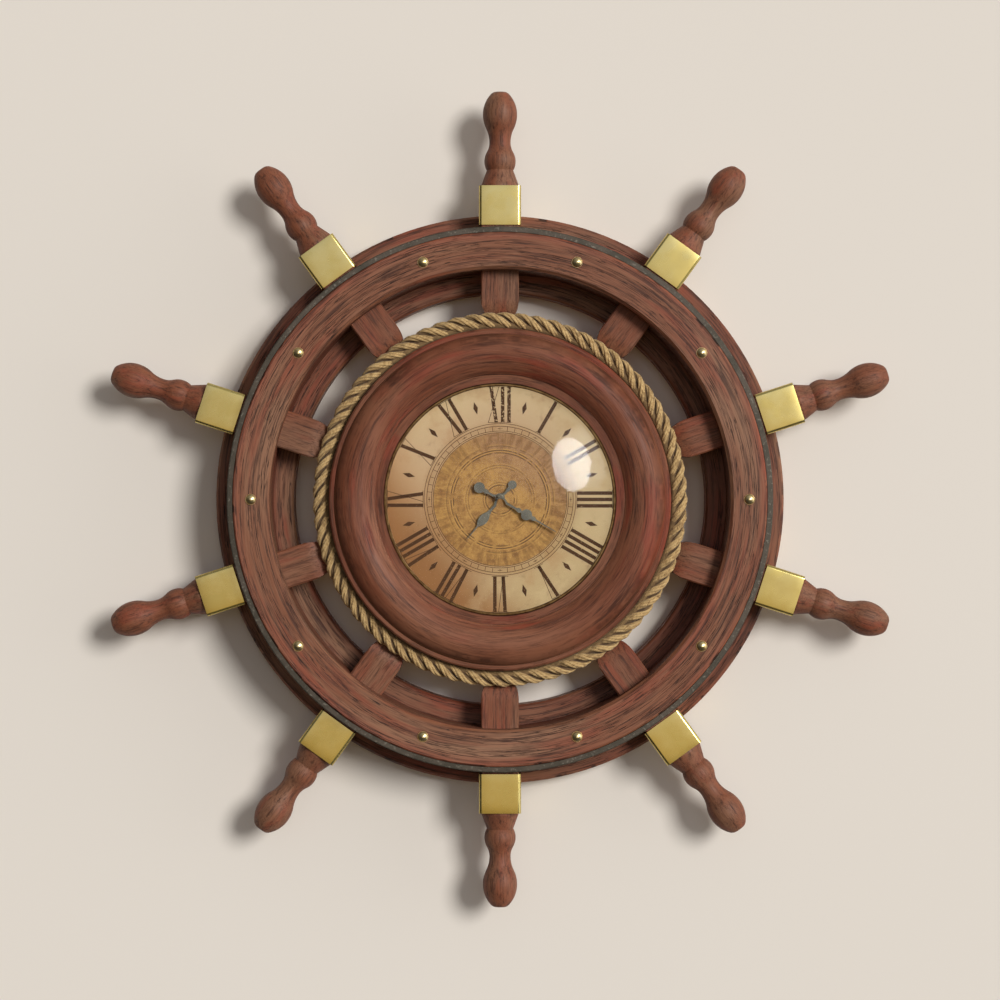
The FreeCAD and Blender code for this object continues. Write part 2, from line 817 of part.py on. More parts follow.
def glass_dome():
    """Domed glass of even thickness."""
    centre = FreeCAD.Vector(0, 0, glass_centre_depth())
    outer = Part.makeSphere(glass_dome_radius, centre)
    inner = Part.makeSphere(glass_dome_radius - glass_thickness, centre)
    rim = glass_seat_radius - joint_clearance
    column = disc(rim, dial_front_depth, dial_front_depth + glass_dome_radius)
    return column.common(outer).cut(inner)


def glass_ring():
    """Brass ring with a lip over the glass and a flange held under the bezel."""
    return turned_ring([
        (glass_seat_radius, dial_front_depth),
        (glass_ring_flange_radius, dial_front_depth),
        (glass_ring_flange_radius, dial_front_depth + glass_ring_flange_thickness),
        (glass_ring_radius, dial_front_depth + glass_ring_flange_thickness),
        (glass_ring_radius, glass_ring_front_depth - glass_lip_round),
        (glass_ring_radius - glass_lip_round, glass_ring_front_depth),
        (dial_opening_radius + glass_lip_round, glass_ring_front_depth),
        (dial_opening_radius, glass_ring_front_depth - glass_lip_round),
        (dial_opening_radius, glass_lip_depth),
        (glass_seat_radius, glass_lip_depth),
    ])


def glass_spacer():
    """Thin ring between the dial and the glass."""
    outer = glass_seat_radius - joint_clearance
    dome = glass_dome_radius - glass_thickness
    top = glass_centre_depth() + math.sqrt(dome ** 2 - outer ** 2) - joint_clearance
    return tube(outer, outer - spacer_wall, dial_front_depth, top)


def dial_plate():
    """Printed dial plate."""
    return tube(board_radius, dial_hole_radius, dial_back_depth, dial_front_depth)


def backing_board():
    """Board that carries the movement, sunk round its nut and screwed to the hub."""
    board = disc(board_radius, board_back_depth, dial_back_depth)
    cutters = [
        disc(bush_radius + joint_clearance, board_back_depth - cut_overrun, dial_back_depth + cut_overrun),
        disc(nut_pocket_radius, nut_seat_depth, dial_back_depth + cut_overrun),
    ]
    for point in board_screw_points():
        cutters.append(board_screw(point, joint_clearance))
    return board.cut(cutters)


def board_screw(point, clearance):
    """Countersunk screw flush with the board's front, or its hole when given a clearance."""
    tip = dial_back_depth - board_screw_length
    shank_end = dial_back_depth - board_screw_head_depth
    shank = disc(board_screw_radius + clearance, tip, dial_back_depth, point)
    head = Part.makeCone(
        board_screw_radius + clearance,
        board_screw_head_radius + clearance,
        board_screw_head_depth,
        FreeCAD.Vector(point.x, point.y, shank_end),
        out_of_wall,
    )
    return shank.fuse(head).removeSplitter()


def board_screws():
    """Screws that hold the board to the hub."""
    return Part.makeCompound([board_screw(point, 0) for point in board_screw_points()])


def involute(angle):
    """Involute function of an angle in radians."""
    return math.tan(angle) - angle


def half_tooth_angle(radius, teeth, module):
    """Half the angle that a tooth covers at a radius, in radians."""
    pitch_radius = module * teeth / 2
    pressure = math.radians(pressure_angle)
    base_radius = pitch_radius * math.cos(pressure)
    at_pitch = (1 - backlash_share) * math.pi / (2 * teeth)
    local = math.acos(min(1, base_radius / radius))
    return at_pitch + involute(pressure) - involute(local)


def toothed_disc(teeth, module, start_depth, end_depth, centre, tooth_angle):
    """Gear disc with a tooth centred at a given angle in degrees."""
    pitch_radius = module * teeth / 2
    tip_radius = pitch_radius + addendum_share * module
    root_radius = pitch_radius - dedendum_share * module
    tip_half = half_tooth_angle(tip_radius, teeth, module)
    root_half = half_tooth_angle(root_radius, teeth, module)
    corners = []
    for i in range(teeth):
        middle = math.radians(tooth_angle) + 2 * math.pi * i / teeth
        for radius, offset in (
            (root_radius, -root_half),
            (tip_radius, -tip_half),
            (tip_radius, tip_half),
            (root_radius, root_half),
        ):
            turn = middle + offset
            x = centre.x + radius * math.cos(turn)
            y = centre.y + radius * math.sin(turn)
            corners.append(FreeCAD.Vector(x, y, start_depth))
    corners.append(corners[0])
    face = Part.Face(Part.makePolygon(corners))
    return face.extrude(FreeCAD.Vector(0, 0, end_depth - start_depth))


def reverser_centre():
    """Place of the reverser wheel's arbor."""
    return polar(reverser_distance, reverser_angle)


def setting_centre():
    """Place of the setting shaft."""
    return reverser_centre() + polar(setting_distance, setting_angle)


def drive_centre():
    """Place of the drive pinion."""
    return polar(drive_distance, drive_angle)


def case_centre_of_bay():
    """Middle of the battery bay, along the bottom of the case."""
    return FreeCAD.Vector(0, case_wall + bay_width / 2 - case_height / 2, 0)


def upper_room():
    """Width, height and middle of the room for the wheels, above the battery bay."""
    width = case_width - 2 * case_wall
    height = case_height - bay_width - 3 * case_wall
    middle = FreeCAD.Vector(0, (case_height - height) / 2 - case_wall, 0)
    return width, height, middle


def cover_outline(start_depth, end_depth, clearance):
    """Block over the wheels' part of the case, above the battery bay."""
    height = case_height - bay_width - case_wall + clearance
    middle = FreeCAD.Vector(0, (case_height - height) / 2, 0)
    return slab(case_width, height, start_depth, end_depth, middle)


def movement_case():
    """Moulded front shell of the movement, with its threaded bush, bay wall and corner posts."""
    shell = rounded_slab(case_width, case_height, case_back_depth, case_front_depth, case_corner_radius)
    width, height, middle = upper_room()
    inner_corner = case_corner_radius - case_wall
    room = rounded_slab(width, height, case_back_depth - cut_overrun, case_inner_depth, inner_corner, middle)
    bay = slab(width, bay_width, case_back_depth - cut_overrun, case_inner_depth, case_centre_of_bay())
    bush = disc(bush_radius, case_inner_depth, bush_front_depth)
    tube_bore = hour_tube_radius + running_clearance
    through = disc(tube_bore, case_inner_depth - cut_overrun, bush_front_depth + cut_overrun)
    shell = shell.cut([room, bay]).fuse(bush)
    posts = []
    for side_x in (-1, 1):
        for side_y in (-1, 1):
            x = side_x * (width - post_width) / 2
            y = middle.y + side_y * (height - post_width) / 2
            centre = FreeCAD.Vector(x, y, 0)
            posts.append(slab(post_width, post_width, plate_front_depth, case_inner_depth, centre))
    shell = shell.fuse(posts)
    pivots = []
    for centre, radius in ((reverser_centre(), arbor_radius), (setting_centre(), setting_shaft_radius)):
        hole = radius + running_clearance
        pivots.append(disc(hole, case_inner_depth - cut_overrun, case_inner_depth + case_wall / 2, centre))
    seat_depth = cover_front_depth + joint_clearance
    seat = cover_outline(case_back_depth - cut_overrun, seat_depth, joint_clearance)
    return shell.cut([through, seat] + pivots).removeSplitter()


def train_plate():
    """Mid plate on the case posts that carries the rear pivots of the motion work."""
    width, height, middle = upper_room()
    plate = rounded_slab(
        width - 2 * joint_clearance,
        height - 2 * joint_clearance,
        plate_back_depth,
        plate_front_depth,
        case_corner_radius - case_wall,
        middle,
    )
    holes = []
    for centre, radius in (
        (dial_axis_point, minute_shaft_radius),
        (reverser_centre(), arbor_radius),
        (setting_centre(), setting_shaft_radius),
    ):
        hole = radius + running_clearance
        holes.append(disc(hole, plate_back_depth - cut_overrun, plate_front_depth + cut_overrun, centre))
    return plate.cut(holes)


def movement_cover():
    """Rear lid over the wheels, with a locating lip, the minute arbor's boss and the board's posts."""
    width, height, middle = upper_room()
    outline = rounded_slab(case_width, case_height, case_back_depth, cover_front_depth, case_corner_radius)
    lid = cover_outline(case_back_depth, cover_front_depth, 0).common(outline)
    lip = rounded_slab(
        width - 2 * joint_clearance,
        height - 2 * joint_clearance,
        cover_front_depth,
        cover_front_depth + cover_lip_depth,
        case_corner_radius - case_wall,
        middle,
    )
    lip_bore = slab(
        width - 2 * case_wall,
        height - 2 * case_wall,
        cover_front_depth,
        cover_front_depth + cover_lip_depth + cut_overrun,
        middle,
    )
    boss = disc(minute_shaft_radius + minute_pivot_radius, cover_front_depth, arbor_step_depth())
    lid = lid.fuse([lip.cut(lip_bore), boss])
    post_end = cover_front_depth + circuit_post_height
    for centre in circuit_post_points():
        lid = lid.fuse(disc(circuit_post_radius, cover_front_depth, post_end, centre))
    pivot_hole = minute_pivot_radius + running_clearance
    setting_hole = setting_shaft_radius + running_clearance
    cutters = [
        disc(pivot_hole, cover_front_depth, arbor_step_depth() + cut_overrun),
        disc(setting_hole, case_back_depth - cut_overrun, cover_front_depth + cut_overrun, setting_centre()),
    ]
    return lid.cut(cutters).removeSplitter()


def arbor_step_depth():
    """Depth where the minute arbor steps down to its rear pivot."""
    return centre_wheel_depth - plate_wheel_gap


def minute_arbor():
    """Minute arbor with its centre wheel, cannon pinion and the long shaft that takes the hand."""
    step = arbor_step_depth() + joint_clearance
    pivot = disc(minute_pivot_radius, cover_front_depth + joint_clearance, step)
    hand_seat = dial_front_depth + minute_hand_lift
    shaft = disc(minute_shaft_radius, step, hand_seat)
    tip = disc(minute_tip_radius, hand_seat, hand_seat + hand_thickness + hand_nut_height / 2)
    centre_end = centre_wheel_depth + wheel_thickness
    centre_wheel = toothed_disc(
        centre_teeth, train_module, centre_wheel_depth, centre_end, dial_axis_point, drive_angle
    )
    cannon_start = reverser_depth - pinion_overlap
    cannon_end = reverser_depth + wheel_thickness + pinion_overlap
    cannon = toothed_disc(
        cannon_teeth, motion_module, cannon_start, cannon_end, dial_axis_point, reverser_angle
    )
    return pivot.fuse([shaft, tip, centre_wheel, cannon]).removeSplitter()


def reverser_wheel():
    """Reverser wheel and pinion between the cannon pinion and the hour wheel."""
    centre = reverser_centre()
    back = plate_back_depth + plate_thickness / 2
    front = case_inner_depth + case_wall / 2 - joint_clearance
    arbor = disc(arbor_radius, back, front, centre)
    wheel_end = reverser_depth + wheel_thickness
    gap_angle = reverser_angle + full_turn / 2 + full_turn / (2 * reverser_teeth)
    wheel = toothed_disc(reverser_teeth, motion_module, reverser_depth, wheel_end, centre, gap_angle)
    pinion_end = hour_wheel_depth + wheel_thickness + pinion_overlap
    pinion_angle = reverser_angle + full_turn / 2
    pinion = toothed_disc(reverser_pinion_teeth, hour_module, wheel_end, pinion_end, centre, pinion_angle)
    return arbor.fuse([wheel, pinion]).removeSplitter()


def hour_wheel():
    """Hour wheel with the long tube that takes the hour hand."""
    tooth_angle = reverser_angle + full_turn / (2 * hour_teeth)
    wheel_end = hour_wheel_depth + wheel_thickness
    wheel = toothed_disc(
        hour_teeth, hour_module, hour_wheel_depth, wheel_end, dial_axis_point, tooth_angle
    )
    tube_end = dial_front_depth + hour_hand_lift + hand_thickness
    sleeve = disc(hour_tube_radius, hour_wheel_depth, tube_end)
    bore_radius = minute_shaft_radius + running_clearance
    bore = disc(bore_radius, hour_wheel_depth - cut_overrun, tube_end + cut_overrun)
    return wheel.fuse(sleeve).cut(bore).removeSplitter()


def setting_wheel():
    """Setting pinion on its shaft, with the notched knob behind the cover."""
    centre = setting_centre()
    knob_front = case_back_depth - knob_gap
    knob_back = knob_front - knob_thickness
    shaft_end = case_inner_depth + case_wall / 2 - joint_clearance
    shaft = disc(setting_shaft_radius, knob_front, shaft_end, centre)
    away = setting_angle + full_turn / 2
    reverser_tooth = reverser_angle + full_turn / 2 + full_turn / (2 * reverser_teeth)
    phase = (setting_angle - reverser_tooth) * reverser_teeth / full_turn
    tooth_angle = away + (phase - round(phase) + 1 / 2) * full_turn / setting_teeth
    start = reverser_depth - pinion_overlap
    end = reverser_depth + wheel_thickness + pinion_overlap
    pinion = toothed_disc(setting_teeth, motion_module, start, end, centre, tooth_angle)
    knob = disc(knob_radius, knob_back, knob_front, centre)
    notches = []
    for i in range(knob_notch_count):
        place = centre + polar(knob_radius, full_turn * i / knob_notch_count)
        notches.append(disc(knob_notch_radius, knob_back - cut_overrun, knob_front + cut_overrun, place))
    return knob.cut(notches).fuse([shaft, pinion]).removeSplitter()


def drive_unit_centre():
    """Middle of the drive unit in the dial plane."""
    x = drive_centre().x + drive_shaft_inset - drive_unit_width / 2
    return FreeCAD.Vector(x, lip_bottom + lip_gap + drive_unit_height / 2, 0)


def drive_unit():
    """Sealed step motor and reduction train, with the bearing of its output shaft."""
    start = cover_front_depth + joint_clearance
    end = start + drive_unit_thickness
    body = rounded_slab(
        drive_unit_width, drive_unit_height, start, end, drive_unit_corner, drive_unit_centre()
    )
    hole_radius = drive_shaft_radius + running_clearance
    hole = disc(hole_radius, start + drive_unit_thickness / 2, end + cut_overrun, drive_centre())
    return body.cut(hole)


def drive_pinion():
    """Output pinion of the drive unit, in mesh with the centre wheel."""
    centre = drive_centre()
    shaft_start = cover_front_depth + joint_clearance + drive_unit_thickness / 2 + joint_clearance
    start = centre_wheel_depth - pinion_overlap
    end = centre_wheel_depth + wheel_thickness + pinion_overlap
    shaft = disc(drive_shaft_radius, shaft_start, end, centre)
    tooth_angle = drive_angle + full_turn / 2 + full_turn / (2 * drive_teeth)
    pinion = toothed_disc(drive_teeth, train_module, start, end, centre, tooth_angle)
    return shaft.fuse(pinion).removeSplitter()


def coil_centre():
    """Middle of the coil, above the drive unit."""
    x = drive_unit_centre().x - drive_unit_width / 2 + coil_length / 2
    return FreeCAD.Vector(x, lip_top - lip_gap - coil_flange_radius, 0)


def stator():
    """Flat U of soft iron from the drive unit to both ends of the coil's core."""
    start = cover_front_depth + joint_clearance + drive_unit_thickness
    end = start + stator_thickness
    centre = coil_centre()
    foot = drive_unit_centre().y + drive_unit_height / 2 - stator_width
    arms = []
    for side in (-1, 1):
        x = centre.x + side * (coil_length / 2 + stator_width / 2)
        top = centre.y + coil_radius
        middle = FreeCAD.Vector(x, (foot + top) / 2, 0)
        arms.append(slab(stator_width, top - foot, start, end, middle))
    span = coil_length + 2 * stator_width
    bridge = slab(span, stator_width, start, end, FreeCAD.Vector(centre.x, foot + stator_width / 2, 0))
    return arms[0].fuse([arms[1], bridge]).removeSplitter()


def drive_coil():
    """Bobbin with its winding, its core ends resting behind the stator's arms."""
    centre = coil_centre()
    stator_back = cover_front_depth + joint_clearance + drive_unit_thickness
    core_half = stator_thickness
    axis_depth = stator_back - core_half
    start = FreeCAD.Vector(centre.x - coil_length / 2, centre.y, axis_depth)
    winding = Part.makeCylinder(coil_radius, coil_length, start, along_spoke)
    flange_shift = FreeCAD.Vector(coil_length - coil_flange_thickness, 0, 0)
    flange = Part.makeCylinder(coil_flange_radius, coil_flange_thickness, start, along_spoke)
    core_span = coil_length + 2 * stator_width
    corner = FreeCAD.Vector(centre.x - core_span / 2, centre.y - core_half, axis_depth - core_half)
    core = Part.makeBox(core_span, 2 * core_half, 2 * core_half, corner)
    return winding.fuse([flange, moved_copy(flange, flange_shift), core]).removeSplitter()


def circuit_centre():
    """Middle of the circuit board in the dial plane."""
    x = lip_side - lip_gap - circuit_width / 2
    return FreeCAD.Vector(x, lip_bottom + lip_gap + circuit_height / 2, 0)


def circuit_post_points():
    """Places of the two cover posts under the circuit board."""
    half = FreeCAD.Vector(circuit_width / 2 - 2 * circuit_post_radius, 0, 0)
    return [circuit_centre() - half, circuit_centre() + half]


def circuit_back_depth():
    """Depth of the circuit board's back face."""
    return cover_front_depth + circuit_post_height + joint_clearance


def circuit_board():
    """Circuit board with its moulded chip."""
    start = circuit_back_depth()
    end = start + circuit_thickness
    board = slab(circuit_width, circuit_height, start, end, circuit_centre())
    chip = slab(chip_width, chip_width, end, end + chip_thickness, circuit_centre())
    return board.fuse(chip).removeSplitter()


def crystal_can():
    """Quartz crystal can lying on the circuit board."""
    centre = circuit_centre()
    depth = circuit_back_depth() + circuit_thickness + crystal_radius
    drop = circuit_height / 2 - 2 * crystal_radius
    start = FreeCAD.Vector(centre.x - crystal_length / 2, centre.y - drop, depth)
    return Part.makeCylinder(crystal_radius, crystal_length, start, along_spoke)


def bay_depth():
    """Depth of the battery's axis: just behind the front wall of its bay."""
    return case_inner_depth - battery_clearance - battery_radius


def battery():
    """Dry cell with its raised terminal, lying across the bay."""
    y = case_centre_of_bay().y
    half = battery_length / 2
    chamfer = battery_end_chamfer
    shoulder = half - battery_nub_length
    points = [
        (-half, 0),
        (-half, battery_radius - chamfer),
        (chamfer - half, battery_radius),
        (shoulder - chamfer, battery_radius),
        (shoulder, battery_radius - chamfer),
        (shoulder, battery_nub_radius),
        (half, battery_nub_radius),
        (half, 0),
    ]
    corners = [FreeCAD.Vector(x, radius, 0) for x, radius in points]
    edges = [line(corners[i - 1], corners[i]) for i in range(len(corners))]
    face = Part.Face(Part.Wire(Part.__sortEdges__(edges)))
    cell = face.revolve(dial_axis_point, along_spoke, full_turn)
    return moved_copy(cell, FreeCAD.Vector(0, y, bay_depth()))


def battery_contacts():
    """End contacts of the bay: a plate with a pad at each end of the battery."""
    y = case_centre_of_bay().y
    height = 2 * battery_radius
    base = bay_depth() - battery_radius
    contacts = []
    for side in (-1, 1):
        outer = side * (room_half_width - joint_clearance)
        inner = outer - side * contact_thickness
        corner = FreeCAD.Vector(min(outer, inner), y - contact_width / 2, base)
        plate = Part.makeBox(contact_thickness, contact_width, height, corner)
        reach = abs(inner) - battery_length / 2 - contact_gap
        start = FreeCAD.Vector(inner, y, bay_depth())
        pad = Part.makeCone(contact_pad_radius, contact_pad_radius / 2, reach, start, along_spoke * -side)
        contacts.append(plate.fuse(pad).removeSplitter())
    return Part.makeCompound(contacts)


def fixing_washer():
    """Soft washer between the movement and the board."""
    return tube(washer_radius, bush_radius + joint_clearance, case_front_depth, board_back_depth)


def fixing_nut():
    """Hexagon nut on the bush, sunk in the board under the dial."""
    step = full_turn / nut_sides
    corners = [polar(nut_corner_radius, step * i, nut_seat_depth) for i in range(nut_sides + 1)]
    face = Part.Face(Part.makePolygon(corners))
    nut = face.extrude(FreeCAD.Vector(0, 0, nut_thickness))
    bore = disc(bush_radius + running_clearance, nut_seat_depth - cut_overrun, dial_back_depth)
    return nut.cut(bore)


def arm(stations, back_depth):
    """Flat arm of a hand along Y, from stations of distance and width."""
    left = [FreeCAD.Vector(-width / 2, distance, back_depth) for distance, width in stations]
    right = [FreeCAD.Vector(width / 2, distance, back_depth) for distance, width in reversed(stations)]
    face = Part.Face(Part.makePolygon(left + right + [left[0]]))
    return face.extrude(FreeCAD.Vector(0, 0, hand_thickness))


def spade(distance, length, width, back_depth):
    """Leaf shape of two arcs, centred at a distance along the hand."""
    low = FreeCAD.Vector(0, distance - length / 2, back_depth)
    high = FreeCAD.Vector(0, distance + length / 2, back_depth)
    left = arc(low, FreeCAD.Vector(-width / 2, distance, back_depth), high)
    right = arc(high, FreeCAD.Vector(width / 2, distance, back_depth), low)
    return Part.Face(Part.Wire([left, right])).extrude(FreeCAD.Vector(0, 0, hand_thickness))


def hand_disc(radius, distance, back_depth):
    """Round stamped disc on a hand."""
    return disc(radius, back_depth, back_depth + hand_thickness, FreeCAD.Vector(0, distance, 0))


def minute_hand():
    """Minute hand: long pointer, round bulb with small collars and a round tail."""
    back = dial_front_depth + minute_hand_lift
    pieces = [
        arm([
            (-minute_tail_distance, hand_waist_width),
            (0, minute_arm_width),
            (minute_collar_distance, hand_waist_width),
            (minute_tip_collar_distance, hand_waist_width),
            (minute_hand_length, hand_tip_width),
        ], back),
        hand_disc(hand_boss_radius, 0, back),
        hand_disc(minute_bulb_radius, minute_bulb_distance, back),
        hand_disc(minute_tail_radius, -minute_tail_distance, back),
    ]
    tail_collar_distance = minute_tail_radius - minute_collar_distance
    for distance in (minute_collar_distance, minute_tip_collar_distance, tail_collar_distance):
        pieces.append(spade(distance, minute_collar_length, minute_collar_width, back))
    hole = disc(minute_tip_radius + running_clearance, back - cut_overrun, back + cut_overrun)
    hand = pieces[0].fuse(pieces[1:]).cut(hole).removeSplitter()
    return turned_copy(hand, -minute_hand_angle)


def hour_hand():
    """Hour hand: short pointer with a long spade and a round tail."""
    back = dial_front_depth + hour_hand_lift
    pieces = [
        arm([
            (-hour_tail_distance, hand_waist_width),
            (0, hour_arm_width),
            (hour_spade_distance, hand_waist_width),
            (hour_hand_length, hand_tip_width),
        ], back),
        hand_disc(hand_boss_radius, 0, back),
        hand_disc(hour_tail_radius, -hour_tail_distance, back),
        spade(hour_spade_distance, hour_spade_length, hour_spade_width, back),
        spade(hour_collar_distance, hour_collar_length, hour_collar_width, back),
        spade(hour_tail_radius - hour_collar_distance, hour_collar_length, hour_collar_width, back),
        disc(hour_tube_radius + hand_collet_wall, back - hand_collet_length, back),
    ]
    hole = disc(hour_tube_radius + joint_clearance / 2, back - cut_overrun, back + cut_overrun)
    hand = pieces[0].fuse(pieces[1:]).cut(hole).removeSplitter()
    return turned_copy(hand, -hour_hand_angle)


def hand_nut():
    """Small nut with a bevelled closed end that holds the minute hand."""
    start = dial_front_depth + minute_hand_lift + hand_thickness
    top = start + hand_nut_height
    bore_radius = minute_tip_radius + running_clearance
    bore_end = start + hand_nut_height / 2 + joint_clearance
    return turned_ring([
        (bore_radius, start),
        (hand_nut_radius, start),
        (hand_nut_radius, top - hand_nut_bevel),
        (hand_nut_radius - hand_nut_bevel, top),
        (0, top),
        (0, bore_end),
        (bore_radius, bore_end),
    ])


def build():
    """Make every piece and write its file."""
    os.makedirs("parts", exist_ok=True)
    pieces = {
        "rear_ring": rear_ring(),
        "front_ring": front_ring(),
        "rim_hoop": rim_hoop(),
        "felloes": felloes(),
        "rim_studs": rim_studs(),
        "hub_body": hub_body(),
        "bezel_ring": bezel_ring(),
        "hub_rope": hub_rope(),
        "glass_ring": glass_ring(),
        "glass_spacer": glass_spacer(),
        "glass_dome": glass_dome(),
        "dial_plate": dial_plate(),
        "backing_board": backing_board(),
        "board_screws": board_screws(),
        "hanger_plate": hanger_plate(),
        "hanger_screws": hanger_screws(),
        "minute_hand": minute_hand(),
        "hour_hand": hour_hand(),
        "hand_nut": hand_nut(),
        "fixing_nut": fixing_nut(),
        "fixing_washer": fixing_washer(),
        "movement_case": movement_case(),
        "movement_cover": movement_cover(),
        "train_plate": train_plate(),
        "minute_arbor": minute_arbor(),
        "reverser_wheel": reverser_wheel(),
        "hour_wheel": hour_wheel(),
        "setting_wheel": setting_wheel(),
        "drive_unit": drive_unit(),
        "drive_pinion": drive_pinion(),
        "drive_coil": drive_coil(),
        "stator": stator(),
        "circuit_board": circuit_board(),
        "crystal_can": crystal_can(),
        "battery": battery(),
        "battery_contacts": battery_contacts(),
    }
    for number, angle in enumerate(spoke_angles(), 1):
        pieces["spoke_%02d" % number] = turned_copy(spoke(), angle)
        pieces["ferrule_%02d" % number] = turned_copy(ferrule(), angle)
    for node, shape in pieces.items():
        save(node, shape)
    print(len(pieces), "nodes written")


build()
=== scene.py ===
"""Looks of the ship's wheel wall clock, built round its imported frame.

Everything is in metres in the frame of the part: Z up, the front faces minus Y, the wall is the plane
Y = 0 and the origin is the hanger hole. The dial axis is parallel to Y.
"""

import logging
import math
import random
from dataclasses import dataclass, field
from enum import Enum

import bmesh
import bpy
from mathutils import Matrix, Vector


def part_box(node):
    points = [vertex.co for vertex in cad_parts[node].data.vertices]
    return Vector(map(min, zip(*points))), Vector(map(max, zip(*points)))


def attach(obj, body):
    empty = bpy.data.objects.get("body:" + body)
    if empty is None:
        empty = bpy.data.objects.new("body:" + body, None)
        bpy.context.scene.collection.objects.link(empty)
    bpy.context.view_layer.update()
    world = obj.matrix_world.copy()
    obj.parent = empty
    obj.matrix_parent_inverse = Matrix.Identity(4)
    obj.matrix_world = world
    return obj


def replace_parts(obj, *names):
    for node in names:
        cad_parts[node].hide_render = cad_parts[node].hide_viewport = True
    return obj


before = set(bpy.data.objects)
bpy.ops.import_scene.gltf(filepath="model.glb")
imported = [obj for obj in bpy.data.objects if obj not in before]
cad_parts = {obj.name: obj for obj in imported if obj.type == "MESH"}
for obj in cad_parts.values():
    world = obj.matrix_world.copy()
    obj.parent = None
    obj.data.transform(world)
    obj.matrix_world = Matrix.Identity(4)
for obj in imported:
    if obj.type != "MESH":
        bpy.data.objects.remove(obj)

Number = float | int
Span = tuple[float, float]
Names = tuple[str, ...]
Tone = tuple[int, int, int]
Triple = tuple[float, float, float]
Color = tuple[float, float, float, float]
Socket = bpy.types.NodeSocket
Material = bpy.types.Material
Shape = bmesh.types.BMesh
Piece = bpy.types.Object

LOG = logging.getLogger("clock")
MM = 0.001
FULL_TURN = 2 * math.pi
SPOKES = 10
HOURS = 12
MINUTES = 60
UPRIGHT = Matrix.Rotation(math.pi / 2, 4, "X")
CLOUD_SPAN = (0.35, 0.65)
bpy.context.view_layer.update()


def linear(tone: Tone) -> Color:
    """Linear colour of a screen colour.

    Args:
        tone: red, green and blue from 0 to 255.

    Returns:
        The linear colour with full alpha.
    """
    parts = [channel / 255 for channel in tone]
    low = [part / 12.92 if part <= 0.04045 else ((part + 0.055) / 1.055) ** 2.4 for part in parts]
    return (low[0], low[1], low[2], 1.0)


def dial_centre() -> Vector:
    """Centre of the dial's front face, in metres."""
    low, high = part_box("dial_plate")
    return Vector(((low.x + high.x) / 2, low.y, (low.z + high.z) / 2))


DIAL = dial_centre()


def on_dial(angle: float, across: float, front: float, rise: float) -> Matrix:
    """Place before the dial.

    Args:
        angle: clockwise turn about the dial axis in radians.
        across: offset to the side before the turn, in millimetres.
        front: offset out of the dial's face in millimetres.
        rise: offset upwards before the turn, in millimetres.

    Returns:
        The matrix that moves a shape there.
    """
    offset = Matrix.Translation((across * MM, -front * MM, rise * MM))
    return Matrix.Translation(DIAL) @ Matrix.Rotation(angle, 4, "Y") @ offset


class Value:
    """A number socket of a graph that takes part in ordinary arithmetic."""

    def __init__(self, graph: "Graph", socket: Socket) -> None:
        """Wrap a socket of a graph."""
        self.graph = graph
        self.socket = socket

    def math(self, operation: str, *terms: "Value | Number") -> "Value":
        """Add a Math node with an operation and its inputs in order."""
        node = self.graph.add("ShaderNodeMath", {"operation": operation}, dict(enumerate(terms)))
        return Value(self.graph, node.outputs[0])

    def __add__(self, other: "Value | Number") -> "Value":
        """Sum."""
        return self.math("ADD", self, other)

    def __sub__(self, other: "Value | Number") -> "Value":
        """Difference."""
        return self.math("SUBTRACT", self, other)

    def __rsub__(self, other: Number) -> "Value":
        """Difference from a plain number."""
        return self.math("SUBTRACT", other, self)

    def __mul__(self, other: "Value | Number") -> "Value":
        """Product."""
        return self.math("MULTIPLY", self, other)

    def __truediv__(self, other: "Value | Number") -> "Value":
        """Quotient."""
        return self.math("DIVIDE", self, other)

    __radd__ = __add__
    __rmul__ = __mul__

    def root(self) -> "Value":
        """Square root."""
        return self.math("SQRT", self)

    def upper(self, other: "Value | Number") -> "Value":
        """The larger of two values."""
        return self.math("MAXIMUM", self, other)

    def swing(self, size: Number) -> "Value":
        """What a noise is above or below its middle of one half, times a size."""
        return (self - 0.5) * size

    def step(self, low: Number, high: Number) -> "Value":
        """Smooth rise from 0 to 1.

        Args:
            low: where the rise starts; above high, the value falls instead.
            high: where it ends.

        Returns:
            The share of the rise.
        """
        settings = {"interpolation_type": "SMOOTHSTEP"}
        node = self.graph.add("ShaderNodeMapRange", settings, {0: self, 1: low, 2: high})
        return Value(self.graph, node.outputs[0])

    def band(self, middle: Number, half: Number, soft: Number) -> "Value":
        """1 within half a width of a middle value, falling to 0 over a soft edge."""
        away = self.math("ABSOLUTE", self - middle)
        return away.step(half + soft, half)


